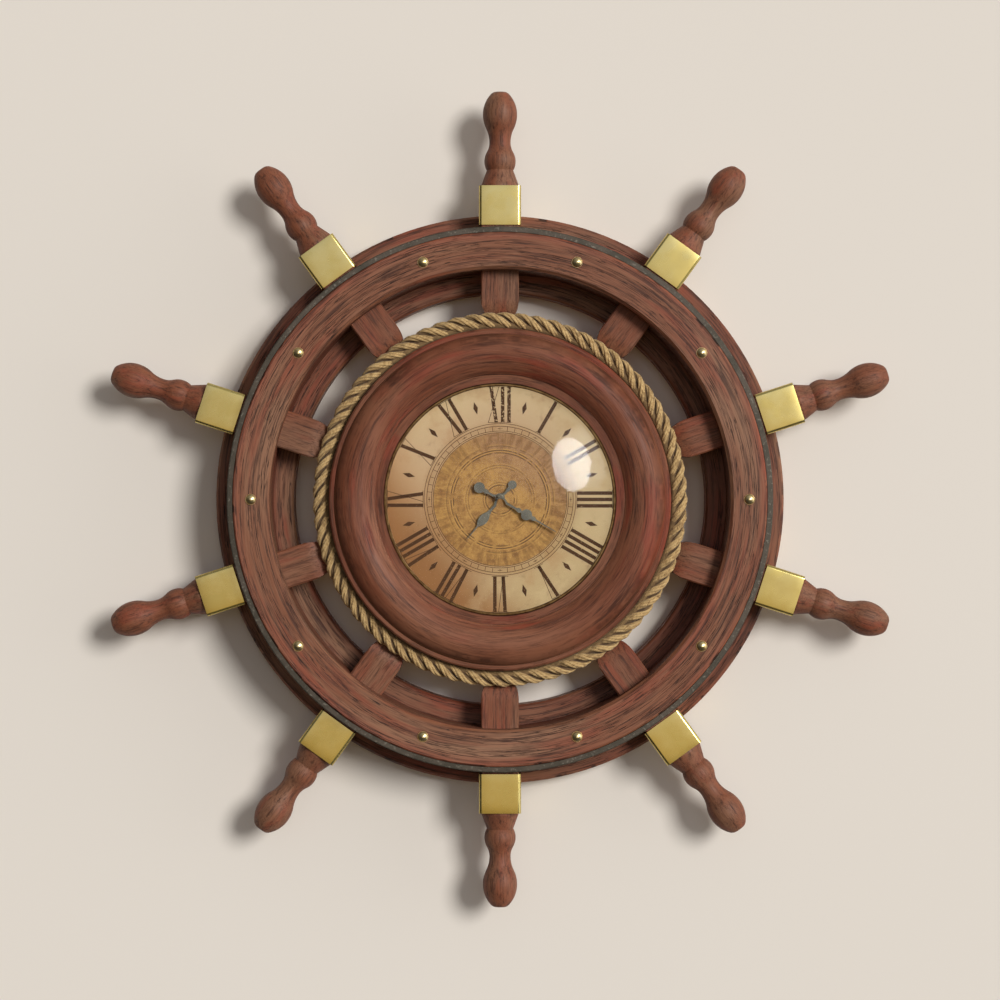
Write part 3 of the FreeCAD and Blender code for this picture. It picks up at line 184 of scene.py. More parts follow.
class Graph:
    """The node tree of one material or world."""

    def __init__(self, owner: Material | bpy.types.World) -> None:
        """Start an empty graph.

        Args:
            owner: the material or world whose node tree it is.
        """
        self.owner = owner
        owner.use_nodes = True
        self.tree = owner.node_tree
        self.tree.nodes.clear()

    def add(
        self, kind: str, settings: dict | None = None, sockets: dict | None = None,
    ) -> bpy.types.Node:
        """Add a node.

        Args:
            kind: the node's type.
            settings: its settings, which are set first.
            sockets: values or links of its sockets by name or number.

        Returns:
            The new node.
        """
        node = self.tree.nodes.new(kind)
        for key, setting in (settings or {}).items():
            setattr(node, key, setting)
        for key, value in (sockets or {}).items():
            source = value.socket if isinstance(value, Value) else value
            if isinstance(source, Socket):
                self.tree.links.new(source, node.inputs[key])
            else:
                node.inputs[key].default_value = source
        return node

    def mix(self, share: Value | Number, first: object, second: object, blend: str = "MIX") -> Socket:
        """Mix two colours.

        Args:
            share: share of the second colour.
            first: first colour or its socket.
            second: second colour or its socket.
            blend: how they are mixed.

        Returns:
            The colour socket.
        """
        settings = {"data_type": "RGBA", "blend_type": blend}
        return self.add("ShaderNodeMix", settings, {0: share, 6: first, 7: second}).outputs[2]

    def coats(self, base: object, *coats: tuple[Value | Number, Tone]) -> Socket:
        """Lay coats of colour over a base.

        Args:
            base: the lowest colour or its socket.
            coats: share and screen colour of each coat, from the lowest.

        Returns:
            The colour socket.
        """
        for share, tone in coats:
            base = self.mix(share, base, linear(tone))
        return base

    def vector(self, x: Value | Number, y: Value | Number, z: Value | Number) -> Socket:
        """Vector socket of three values."""
        return self.add("ShaderNodeCombineXYZ", None, {0: x, 1: y, 2: z}).outputs[0]

    def noise(
        self, vector: Socket, detail: float = 2.0, rough: float = 0.5, scale: float = 1.0,
    ) -> Value:
        """Noise over a vector.

        Args:
            vector: where it is read.
            detail: its octaves.
            rough: weight of the finer octaves.
            scale: how often it varies for each unit of the vector.

        Returns:
            A value about one half.
        """
        sockets = {"Vector": vector, "Scale": scale, "Detail": detail, "Roughness": rough}
        node = self.add("ShaderNodeTexNoise", {"noise_dimensions": "3D"}, sockets)
        return Value(self, node.outputs[0])

    def bump(self, height: Value, depth: float, strength: float = 1.0) -> Socket:
        """Normal of a surface raised by a height.

        Args:
            height: height as a share of the depth.
            depth: size of the relief in millimetres.
            strength: share of the effect.

        Returns:
            The normal socket.
        """
        sockets = {"Strength": strength, "Distance": depth * MM, "Height": height}
        return self.add("ShaderNodeBump", None, sockets).outputs[0]

    def principled(self, **sockets: object) -> Socket:
        """Principled shader; names of sockets are given with underscores for spaces."""
        named = {key.replace("_", " "): value for key, value in sockets.items()}
        return self.add("ShaderNodeBsdfPrincipled", None, named).outputs[0]


class Place:
    """Object coordinates in millimetres, measured from the dial axis."""

    least_radius: float = 0.01

    def __init__(self, graph: Graph) -> None:
        """Read the surface's coordinates.

        Args:
            graph: the graph of its material.
        """
        coordinates = graph.add("ShaderNodeTexCoord").outputs["Object"]
        parts = graph.add("ShaderNodeSeparateXYZ", None, {0: coordinates}).outputs
        self.graph = graph
        self.across = Value(graph, parts[0]) / MM
        self.depth = Value(graph, parts[1]) / -MM
        self.rise = (Value(graph, parts[2]) - DIAL.z) / MM
        self.radius = (self.across * self.across + self.rise * self.rise).root()
        off_axis = self.radius.upper(self.least_radius)
        self.cosine = self.across / off_axis
        self.sine = self.rise / off_axis

    def toward(self, across: float, rise: float) -> Value:
        """Distance from the dial axis in one direction."""
        return self.across * across + self.rise * rise

    def along_spoke(self) -> tuple[Value, Value, Value]:
        """Place on the nearest spoke.

        Returns:
            The spoke's number, and the distances along it and beside it.
        """
        step = FULL_TURN / SPOKES
        angle = self.rise.math("ARCTAN2", self.rise, self.across)
        sector = angle.math("FLOOR", (angle + FULL_TURN / 2) / step)
        turn = angle - (sector + 0.5) * step + FULL_TURN / 2
        cosine, sine = [turn.math(operation, turn) for operation in ("COSINE", "SINE")]
        return sector, self.radius * cosine, self.radius * sine

    def noise(self, size: float, detail: float = 2.0, rough: float = 0.5) -> Value:
        """Noise that varies about once in a size, with the settings of Graph.noise."""
        point = self.graph.vector(self.across / size, self.rise / size, self.depth / size)
        return self.graph.noise(point, detail, rough)


@dataclass(frozen=True)
class Finish:
    """A named finish. Its lengths are in millimetres, and its tones are screen colours.

    A span says from where to where in a noise, or over which lengths, a mask rises from 0 to 1.
    """

    name: str

    def shader(self, graph: Graph) -> Socket:
        """Build the shader, which each kind of finish does in its own way.

        Args:
            graph: the graph that it is built in.

        Returns:
            The shader socket.
        """
        raise NotImplementedError

    def material(self) -> Material:
        """Build the material.

        Returns:
            The new material.
        """
        graph = Graph(bpy.data.materials.new(self.name))
        graph.add("ShaderNodeOutputMaterial", None, {"Surface": self.shader(graph)})
        return graph.owner


Finishes = tuple[tuple[Finish, Names], ...]


class GrainRun(Enum):
    """Which way the grain of a wooden piece runs."""

    ROUND = "round the dial axis"
    OUTWARD = "along the spokes"
    LEVEL = "from left to right"


@dataclass(frozen=True)
class Wood(Finish):
    """Stained open-grained wood under a satin varnish."""

    run: GrainRun
    base: Tone = (122, 75, 51)
    pale: Tone = (136, 98, 73)
    red: Tone = (136, 62, 43)
    dark: Tone = (62, 36, 26)
    pore: Tone = (34, 21, 15)
    run_radius: float = 180.0
    spoke_shift: Span = (3.7, 5.3)
    streak_length: float = 60.0
    streak_width: float = 2.6
    pore_length: float = 11.0
    pore_width: float = 0.62
    broad_span: Span = (0.38, 0.66)
    red_span: Span = (0.52, 0.68)
    streak_span: Span = (0.52, 0.3)
    fine_pale_span: Span = (0.5, 0.68)
    fine_dark_span: Span = (0.46, 0.32)
    thread_span: Span = (0.51, 0.59)
    thread_region: Span = (0.36, 0.52)
    pore_span: Span = (0.57, 0.63)
    pore_region: Span = (0.42, 0.54)
    edge_span: Span = (0.3, 0.55)
    red_share: float = 0.5
    streak_share: float = 0.8
    fine_share: float = 0.4
    pore_share: float = 0.8
    edge_red: float = 0.0
    edge_radius: float = 0.0
    edge_width: float = 9.0
    roughness: float = 0.52
    gloss: float = 0.25
    relief: float = 0.25

    def _grain(self, place: Place, length: float, width: float) -> Socket:
        """Vector that follows the grain.

        Args:
            place: the surface's place.
            length: how far it takes to vary once along the grain.
            width: how far it takes across the grain.

        Returns:
            The vector socket.
        """
        vector = place.graph.vector
        if self.run is GrainRun.ROUND:
            share = self.run_radius / length
            across = place.radius / width + place.depth / width
            return vector(place.cosine * share, place.sine * share, across)
        if self.run is GrainRun.LEVEL:
            return vector(place.across / length, place.rise / width, place.depth / width)
        sector, outward, beside = place.along_spoke()
        along = outward / length + sector * self.spoke_shift[0]
        across = beside / width + sector * self.spoke_shift[1]
        return vector(along, across, place.depth / width)

    def _noise(self, place: Place, length: float, width: float, *settings: float) -> Value:
        """Noise drawn out along the grain, with the settings of Graph.noise."""
        return place.graph.noise(self._grain(place, length, width), *settings)

    def shader(self, graph: Graph) -> Socket:
        """Broad tone, red patches, streaks, fine dashes, threads and open pores."""
        place = Place(graph)
        length, width = self.streak_length, self.streak_width
        broad = self._noise(place, 3 * length, 9 * width)
        streak = self._noise(place, length, width, 4.0, 0.6)
        fine = self._noise(place, length / 3, width / 4, 3.0, 0.6)
        pores = self._noise(place, self.pore_length, self.pore_width)
        lines = self._noise(place, 3 * self.pore_length, 0.8 * self.pore_width, 2.0, 0.6)
        patch = self._noise(place, 2 * length, 5 * width, 2.0, 0.5, 1.3)
        cluster = self._noise(place, 1.4 * length, 2.2 * width, 2.0, 0.5, 1.7)
        threads = lines.step(*self.thread_span) * cluster.step(*self.thread_region)
        holes = pores.step(*self.pore_span) * cluster.step(*self.pore_region) * self.pore_share
        under = [
            (broad.step(*self.broad_span), self.pale),
            (patch.step(*self.red_span) * self.red_share, self.red),
        ]
        if self.edge_red:
            near = place.radius.step(self.edge_radius - self.edge_width, self.edge_radius)
            under.append((near * broad.step(*self.edge_span) * self.edge_red, self.red))
        color = graph.coats(
            linear(self.base), *under,
            (streak.step(*self.streak_span) * self.streak_share, self.dark),
            (fine.step(*self.fine_pale_span) * self.fine_share, self.pale),
            (fine.step(*self.fine_dark_span) * self.fine_share, self.dark),
            (threads * self.pore_share, self.dark),
            (holes, self.pore),
        )
        height = fine * 0.35 + streak * 0.25 - holes - threads * 0.4
        return graph.principled(
            Base_Color=color, Roughness=self.roughness + fine.swing(0.25) + holes * 0.15,
            Normal=graph.bump(height, self.relief, 0.6), Specular_IOR_Level=self.gloss,
        )


@dataclass(frozen=True)
class Metal(Finish):
    """Metal with faint clouds and a fine grain."""

    bright: Tone
    dull: Tone
    roughness: float = 0.35
    cloud: float = 14.0
    grain: float = 0.5
    relief: float = 0.02
    metallic: float = 1.0

    def shader(self, graph: Graph) -> Socket:
        """Clouded metal."""
        place = Place(graph)
        cloud = place.noise(self.cloud, 4.0, 0.6)
        grain = place.noise(self.grain)
        return graph.principled(
            Base_Color=graph.coats(linear(self.bright), (cloud.step(*CLOUD_SPAN), self.dull)),
            Metallic=self.metallic, Roughness=self.roughness + cloud.swing(0.15) + grain.swing(0.08),
            Normal=self._normal(place, grain * 0.5 + cloud * 0.5),
        )

    def _normal(self, place: Place, texture: Value) -> Socket:
        """Normal of the surface with its fine relief."""
        return place.graph.bump(texture, self.relief, 0.5)


@dataclass(frozen=True)
class SleeveMetal(Metal):
    """Metal of the ferrules, whose faces fall off a little towards their edges."""

    middle: float = 217.0
    half: float = 15.6
    swell: float = 0.7

    def _normal(self, place: Place, texture: Value) -> Socket:
        """Normal of a face that falls off with the fourth power of the distance from its middle.

        Args:
            place: the surface's place.
            texture: the fine relief.

        Returns:
            The normal socket.
        """
        _, outward, beside = place.along_spoke()
        along, side = (outward - self.middle) / self.half, beside / self.half
        fall = (along * along) * (along * along) + (side * side) * (side * side)
        return place.graph.bump(fall * -0.5 + texture * (self.relief / self.swell), self.swell)


@dataclass(frozen=True)
class AgedIron(Finish):
    """Dark grey green iron with pale specks and small pits."""

    name: str = "aged_iron"
    base: Tone = (82, 73, 62)
    green: Tone = (68, 62, 51)
    speck: Tone = (136, 130, 116)
    pit: Tone = (34, 31, 27)
    cloud_size: float = 16.0
    speck_size: float = 2.2
    pit_size: float = 0.8
    green_span: Span = (0.4, 0.62)
    speck_span: Span = (0.56, 0.7)
    speck_share: float = 0.55
    pit_span: Span = (0.46, 0.3)
    pit_share: float = 0.7
    metallic: float = 0.55
    roughness: float = 0.5
    relief: float = 0.12

    def shader(self, graph: Graph) -> Socket:
        """Clouds, specks and pits."""
        place = Place(graph)
        cloud = place.noise(self.cloud_size, 3.0)
        grain = place.noise(self.pit_size, 3.0, 0.7)
        spots = place.noise(self.speck_size, 3.0, 0.6)
        color = graph.coats(
            linear(self.base),
            (cloud.step(*self.green_span), self.green),
            (spots.step(*self.speck_span) * self.speck_share, self.speck),
            (grain.step(*self.pit_span) * self.pit_share, self.pit),
        )
        return graph.principled(
            Base_Color=color, Metallic=self.metallic, Roughness=self.roughness + grain.swing(0.3),
            Normal=graph.bump(grain * 0.7 + spots * 0.3, self.relief, 0.6),
        )


@dataclass(frozen=True)
class Moulded(Finish):
    """Moulded or painted plain surface with a fine grain."""

    base: Tone
    shade: Tone
    roughness: float = 0.5
    cloud: float = 9.0
    grain: float = 0.35
    relief: float = 0.02

    def shader(self, graph: Graph) -> Socket:
        """Slightly clouded and grained surface."""
        place = Place(graph)
        cloud = place.noise(self.cloud, 3.0)
        grain = place.noise(self.grain)
        return graph.principled(
            Base_Color=graph.coats(linear(self.base), (cloud.step(*CLOUD_SPAN), self.shade)),
            Roughness=self.roughness + grain.swing(0.12), Normal=graph.bump(grain, self.relief, 0.5),
        )


@dataclass(frozen=True)
class RopeFibre(Finish):
    """Natural rope fibre with pale and brown threads, and painted shade in a dark brown deep in the
    gaps between the strands.

    The ring's radius and depth and the rope's radius say where the painted gap shade lies.
    """

    ring_radius: float
    ring_depth: float
    rope_radius: float
    pale: Tone = (200, 168, 114)
    mid: Tone = (158, 124, 76)
    brown: Tone = (92, 64, 34)
    # painted shade: the colour laid deep in the gaps between the strands
    gap_shade: Tone = (70, 46, 23)
    run_radius: float = 130.0
    thread_length: float = 5.0
    thread_width: float = 0.7
    cloud_size: float = 7.0
    pale_span: Span = (0.35, 0.62)
    cloud_span: Span = (0.5, 0.28)
    cloud_share: float = 0.5
    brown_span: Span = (0.42, 0.25)
    brown_share: float = 0.7
    gap_shade_span: Span = (0.82, 0.56)
    gap_shade_share: float = 0.9
    roughness: float = 0.85
    sheen: float = 0.1
    sheen_roughness: float = 0.5
    relief: float = 0.4

    def shader(self, graph: Graph) -> Socket:
        """Threads along the ring, darkened with painted shade deep inside the rope."""
        place = Place(graph)
        share = self.run_radius / self.thread_length
        across = place.radius / self.thread_width + place.depth / self.thread_width
        thread = graph.vector(place.cosine * share, place.sine * share, across)
        fibres = graph.noise(thread, 3.0, 0.7)
        cloud = place.noise(self.cloud_size, 3.0)
        side, front = place.radius - self.ring_radius, place.depth - self.ring_depth
        lift = (side * side + front * front).root() / self.rope_radius
        color = graph.coats(
            linear(self.mid),
            (fibres.step(*self.pale_span), self.pale),
            (cloud.step(*self.cloud_span) * self.cloud_share, self.brown),
            (fibres.step(*self.brown_span) * self.brown_share, self.brown),
            # painted shade deep in the gaps, where the place lies close to the rope's centre line
            (lift.step(*self.gap_shade_span) * self.gap_shade_share, self.gap_shade),
        )
        return graph.principled(
            Base_Color=color, Roughness=self.roughness, Sheen_Weight=self.sheen,
            Sheen_Roughness=self.sheen_roughness, Normal=graph.bump(fibres, self.relief, 0.8),
        )


@dataclass(frozen=True)
class Drift:
    """A mask that rises in one direction across the dial, up to a share."""

    direction: Span
    span: Span
    share: float

    def over(self, place: Place) -> Value:
        """The mask at a place."""
        return place.toward(*self.direction).step(*self.span) * self.share


@dataclass(frozen=True)
class Parchment(Finish):
    """Printed dial: tan parchment, an ochre medallion and engraved rings, with a painted reflection
    that pales it towards the lower right and painted shade at its edge.
    """

    name: str = "dial_print"
    tan: Tone = (192, 162, 124)
    pale: Tone = (187, 161, 117)
    orange: Tone = (170, 125, 79)
    amber: Tone = (134, 90, 50)
    wisp: Tone = (210, 186, 140)
    ochre: Tone = (150, 108, 58)
    brown: Tone = (106, 69, 34)
    gold: Tone = (182, 138, 74)
    mauve: Tone = (154, 117, 91)
    line: Tone = (74, 46, 28)
    # painted reflection: the paper pales towards the lower right
    right: Drift = Drift((0.8, -0.6), (-30.0, 60.0), 1.0)
    above: Drift = Drift((0.8, 1.0), (-40.0, 40.0), 0.6)
    left: Drift = Drift((-0.85, -0.5), (25.0, 75.0), 0.8)
    corner: Drift = Drift((-0.72, -0.69), (28.0, 78.0), 0.85)
    # painted reflection: pale wisps towards the lower right
    reflection_wisps: Drift = Drift((0.7, -0.7), (20.0, 60.0), 0.4)
    mauve_side: Drift = Drift((0.6, 0.8), (5.0, 38.0), 0.6)
    cloud_size: float = 24.0
    orange_span: Span = (0.5, 0.7)
    orange_share: float = 0.35
    reflection_wisp_span: Span = (0.5, 0.36)
    stain_size: float = 9.0
    stain_span: Span = (0.56, 0.74)
    stain_share: float = 0.3
    bright_span: Span = (58.0, 82.0)
    # painted shade: brown darkening towards the dial's edge by the bezel
    rim_shade_span: Span = (76.0, 86.0)
    rim_shade_share: float = 0.1
    inner_span: Span = (60.0, 53.0)
    inner_share: float = 0.35
    medallion_radius: float = 49.0
    medallion_soft: float = 0.4
    medallion_sway: float = 2.0
    medallion_share: float = 0.9
    mottle_size: float = 6.0
    mottle_span: Span = (0.46, 0.32)
    mottle_share: float = 0.4
    speckle_size: float = 1.6
    speckle_span: Span = (0.48, 0.34)
    speckle_share: float = 0.3
    ray_turns: float = 14.0
    ray_length: float = 16.0
    ray_dark_span: Span = (0.42, 0.62)
    ray_span: Span = (34.0, 40.0)
    ray_share: float = 0.5
    rings: tuple[float, ...] = (10.6, 12.4, 23.4, 25.2, 34.4, 36.2, 39.4)
    strong_rings: tuple[float, ...] = (10.6, 34.4, 36.2)
    ring_half: float = 0.28
    ring_soft: float = 0.35
    ring_light: float = 0.95
    strong_share: float = 0.85
    faint_share: float = 0.4
    wear_size: float = 5.0
    wear_span: Span = (0.36, 0.52)
    grain_size: float = 0.6
    roughness: float = 0.7
    gloss: float = 0.2
    relief: float = 0.02

    def color(self, place: Place) -> Socket:
        """Colour of the paper and medallion, with a painted reflection towards the lower right and
        painted shade at the edge.

        Args:
            place: the surface's place.

        Returns:
            The colour socket.
        """
        graph = place.graph
        cloud = place.noise(self.cloud_size, 4.0, 0.6)
        stain = place.noise(self.stain_size, 5.0, 0.65)
        paper = graph.coats(
            linear(self.tan),
            # painted reflection: paler towards the lower right
            (self.right.over(place), self.pale),
            (place.radius.step(*self.bright_span) * self.above.over(place), self.wisp),
            (self.left.over(place), self.orange),
            (self.corner.over(place), self.amber),
            (cloud.step(*self.orange_span) * self.orange_share, self.orange),
            (stain.step(*self.stain_span) * self.stain_share, self.brown),
            # painted reflection: pale wisps towards the lower right
            (cloud.step(*self.reflection_wisp_span) * self.reflection_wisps.over(place), self.wisp),
            # painted shade: brown darkening towards the dial's edge by the bezel
            (place.radius.step(*self.rim_shade_span) * self.rim_shade_share, self.brown),
            (place.radius.step(*self.inner_span) * self.inner_share, self.ochre),
        )
        return self._medallion(place, paper)

    def _medallion(self, place: Place, paper: Socket) -> Socket:
        """Lay the medallion and its rings over the paper.

        Args:
            place: the surface's place.
            paper: the paper's colour.

        Returns:
            The colour socket.
        """
        graph = place.graph
        turns = [part * self.ray_turns for part in (place.cosine, place.sine)]
        rays = graph.noise(graph.vector(*turns, place.radius / self.ray_length), 3.0, 0.6)
        mottle = place.noise(self.mottle_size, 4.0, 0.65)
        speckle = place.noise(self.speckle_size, 3.0, 0.6)
        wear = place.noise(self.wear_size, 3.0).step(*self.wear_span)
        dark_rays = rays.step(*self.ray_dark_span) * place.radius.step(*self.ray_span)
        centre = graph.coats(
            linear(self.ochre),
            (mottle.step(*CLOUD_SPAN), self.gold),
            (self.mauve_side.over(place), self.mauve),
            (dark_rays * self.ray_share, self.brown),
            (mottle.step(*self.mottle_span) * self.mottle_share, self.brown),
            (speckle.step(*self.speckle_span) * self.speckle_share, self.brown),
        )
        for ring in self.rings:
            share = wear * (self.strong_share if ring in self.strong_rings else self.faint_share)
            dark = place.radius.band(ring, self.ring_half, self.ring_soft)
            light = place.radius.band(ring + self.ring_light, self.ring_half, self.ring_soft)
            centre = graph.coats(centre, (dark * share, self.line), (light * share, self.gold))
        edge, soft = self.medallion_radius, self.medallion_soft
        inside = (place.radius + mottle.swing(self.medallion_sway)).step(edge + soft, edge - soft)
        return graph.mix(inside * self.medallion_share, paper, centre)

    def shader(self, graph: Graph) -> Socket:
        """Matt printed paper."""
        place = Place(graph)
        grain = place.noise(self.grain_size, 3.0)
        return graph.principled(
            Base_Color=self.color(place), Roughness=self.roughness, Specular_IOR_Level=self.gloss,
            Normal=graph.bump(grain, self.relief, 0.5),
        )


@dataclass(frozen=True)
class WornInk(Finish):
    """Dark print on the parchment, rubbed through in places and most at the top numeral."""

    name: str = "worn_ink"
    ink: Tone = (72, 46, 26)
    paper: Parchment = Parchment()
    scratch_size: float = 1.6
    region_size: float = 26.0
    top_span: Span = (45.0, 70.0)
    top_half: float = 9.0
    top_soft: float = 8.0
    region_weight: float = 0.2
    top_weight: float = 0.08
    worn_span: Span = (0.73, 0.78)
    roughness: float = 0.65
    gloss: float = 0.15

    def shader(self, graph: Graph) -> Socket:
        """Ink with the paper's colour where it is worn."""
        place = Place(graph)
        scratch = place.noise(self.scratch_size, 4.0, 0.7)
        region = place.noise(self.region_size)
        top = place.rise.step(*self.top_span) * place.across.band(0.0, self.top_half, self.top_soft)
        wear = scratch + region * self.region_weight + top * self.top_weight
        worn = wear.step(*self.worn_span)
        return graph.principled(
            Base_Color=graph.mix(worn, linear(self.ink), self.paper.color(place)),
            Roughness=self.roughness + worn * 0.05, Specular_IOR_Level=self.gloss,
        )


@dataclass(frozen=True)
class DomeGlass(Finish):
    """Clear coated glass with faint smears that lets the light through to the dial."""

    name: str = "dome_glass"
    shine: float = 0.26
    glass_tint: Color = (1.0, 1.0, 1.0, 1.0)
    mirror_tint: Color = (0.03, 0.03, 0.03, 1.0)
    index: float = 1.45
    dust_size: float = 3.0
    dust_span: Span = (0.6, 0.8)
    dust_roughness: float = 0.02
    shine_roughness: float = 0.06
    wisp_size: Span = (5.0, 22.0)
    smear_direction: Span = (0.8, 0.45)
    smear_reach: float = 49.9
    smear_sway: float = 18.0
    smear_span: Span = (-16.0, -5.0)
    smear_shine: float = 0.25

    def shader(self, graph: Graph) -> Socket:
        """Glass that is see-through for the lamps' light on its way to the dial."""
        place = Place(graph)
        dust = place.noise(self.dust_size, 4.0)
        across, rise = self.wisp_size
        wisps = graph.noise(graph.vector(place.across / across, place.rise / rise, 0.0), 4.0, 0.6)
        slope = place.toward(*self.smear_direction) - self.smear_reach
        clean = (slope + wisps.swing(self.smear_sway)).step(*self.smear_span)
        glass = graph.principled(
            Base_Color=self.glass_tint, Roughness=dust.step(*self.dust_span) * self.dust_roughness,
            IOR=self.index, Transmission_Weight=1.0, Specular_Tint=self.mirror_tint,
            Coat_Weight=(clean * (1 - self.smear_shine) + self.smear_shine) * self.shine,
            Coat_Roughness=self.shine_roughness, Coat_IOR=self.index,
        )
        clear = graph.add("ShaderNodeBsdfTransparent").outputs[0]
        path = graph.add("ShaderNodeLightPath").outputs
        passing = Value(graph, path["Is Shadow Ray"]).upper(Value(graph, path["Is Diffuse Ray"]))
        return graph.add("ShaderNodeMixShader", None, {0: passing, 1: glass, 2: clear}).outputs[0]


@dataclass(frozen=True)
class WallPaint(Finish):
    """Plain pale wall, seen from its front only."""

    name: str = "wall_paint"
    tone: Tone = (222, 214, 203)

    def shader(self, graph: Graph) -> Socket:
        """Matt paint that is clear from behind."""
        paint = graph.add("ShaderNodeBsdfDiffuse", None, {"Color": linear(self.tone)}).outputs[0]
        clear = graph.add("ShaderNodeBsdfTransparent").outputs[0]
        behind = graph.add("ShaderNodeNewGeometry").outputs["Backfacing"]
        return graph.add("ShaderNodeMixShader", None, {0: behind, 1: paint, 2: clear}).outputs[0]


def dress(node: str, material: Material) -> None:
    """Give a carried-over node its finish.

    Args:
        node: name of the node.
        material: its new material.
    """
    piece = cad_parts[node]
    piece.data.materials.clear()
    piece.data.materials.append(material)
    LOG.info("dressed %s with %s", node, material.name)


def new_piece(
    name: str, source: bpy.types.Mesh | Shape, material: Material, smooth: bool = False,
) -> Piece:
    """Make a piece.

    Args:
        name: name of the piece.
        source: its mesh, or a bmesh, which is freed.
        material: its only material.
        smooth: whether its faces are shaded smooth.

    Returns:
        The new object.
    """
    mesh = source
    if isinstance(source, Shape):
        mesh = bpy.data.meshes.new(name)
        source.to_mesh(mesh)
        source.free()
    mesh.name = name
    mesh.materials.clear()
    mesh.materials.append(material)
    if smooth:
        mesh.polygons.foreach_set("use_smooth", [True] * len(mesh.polygons))
    piece = bpy.data.objects.new(name, mesh)
    bpy.context.scene.collection.objects.link(piece)
    LOG.info("made %s with %d faces", name, len(mesh.polygons))
    return piece


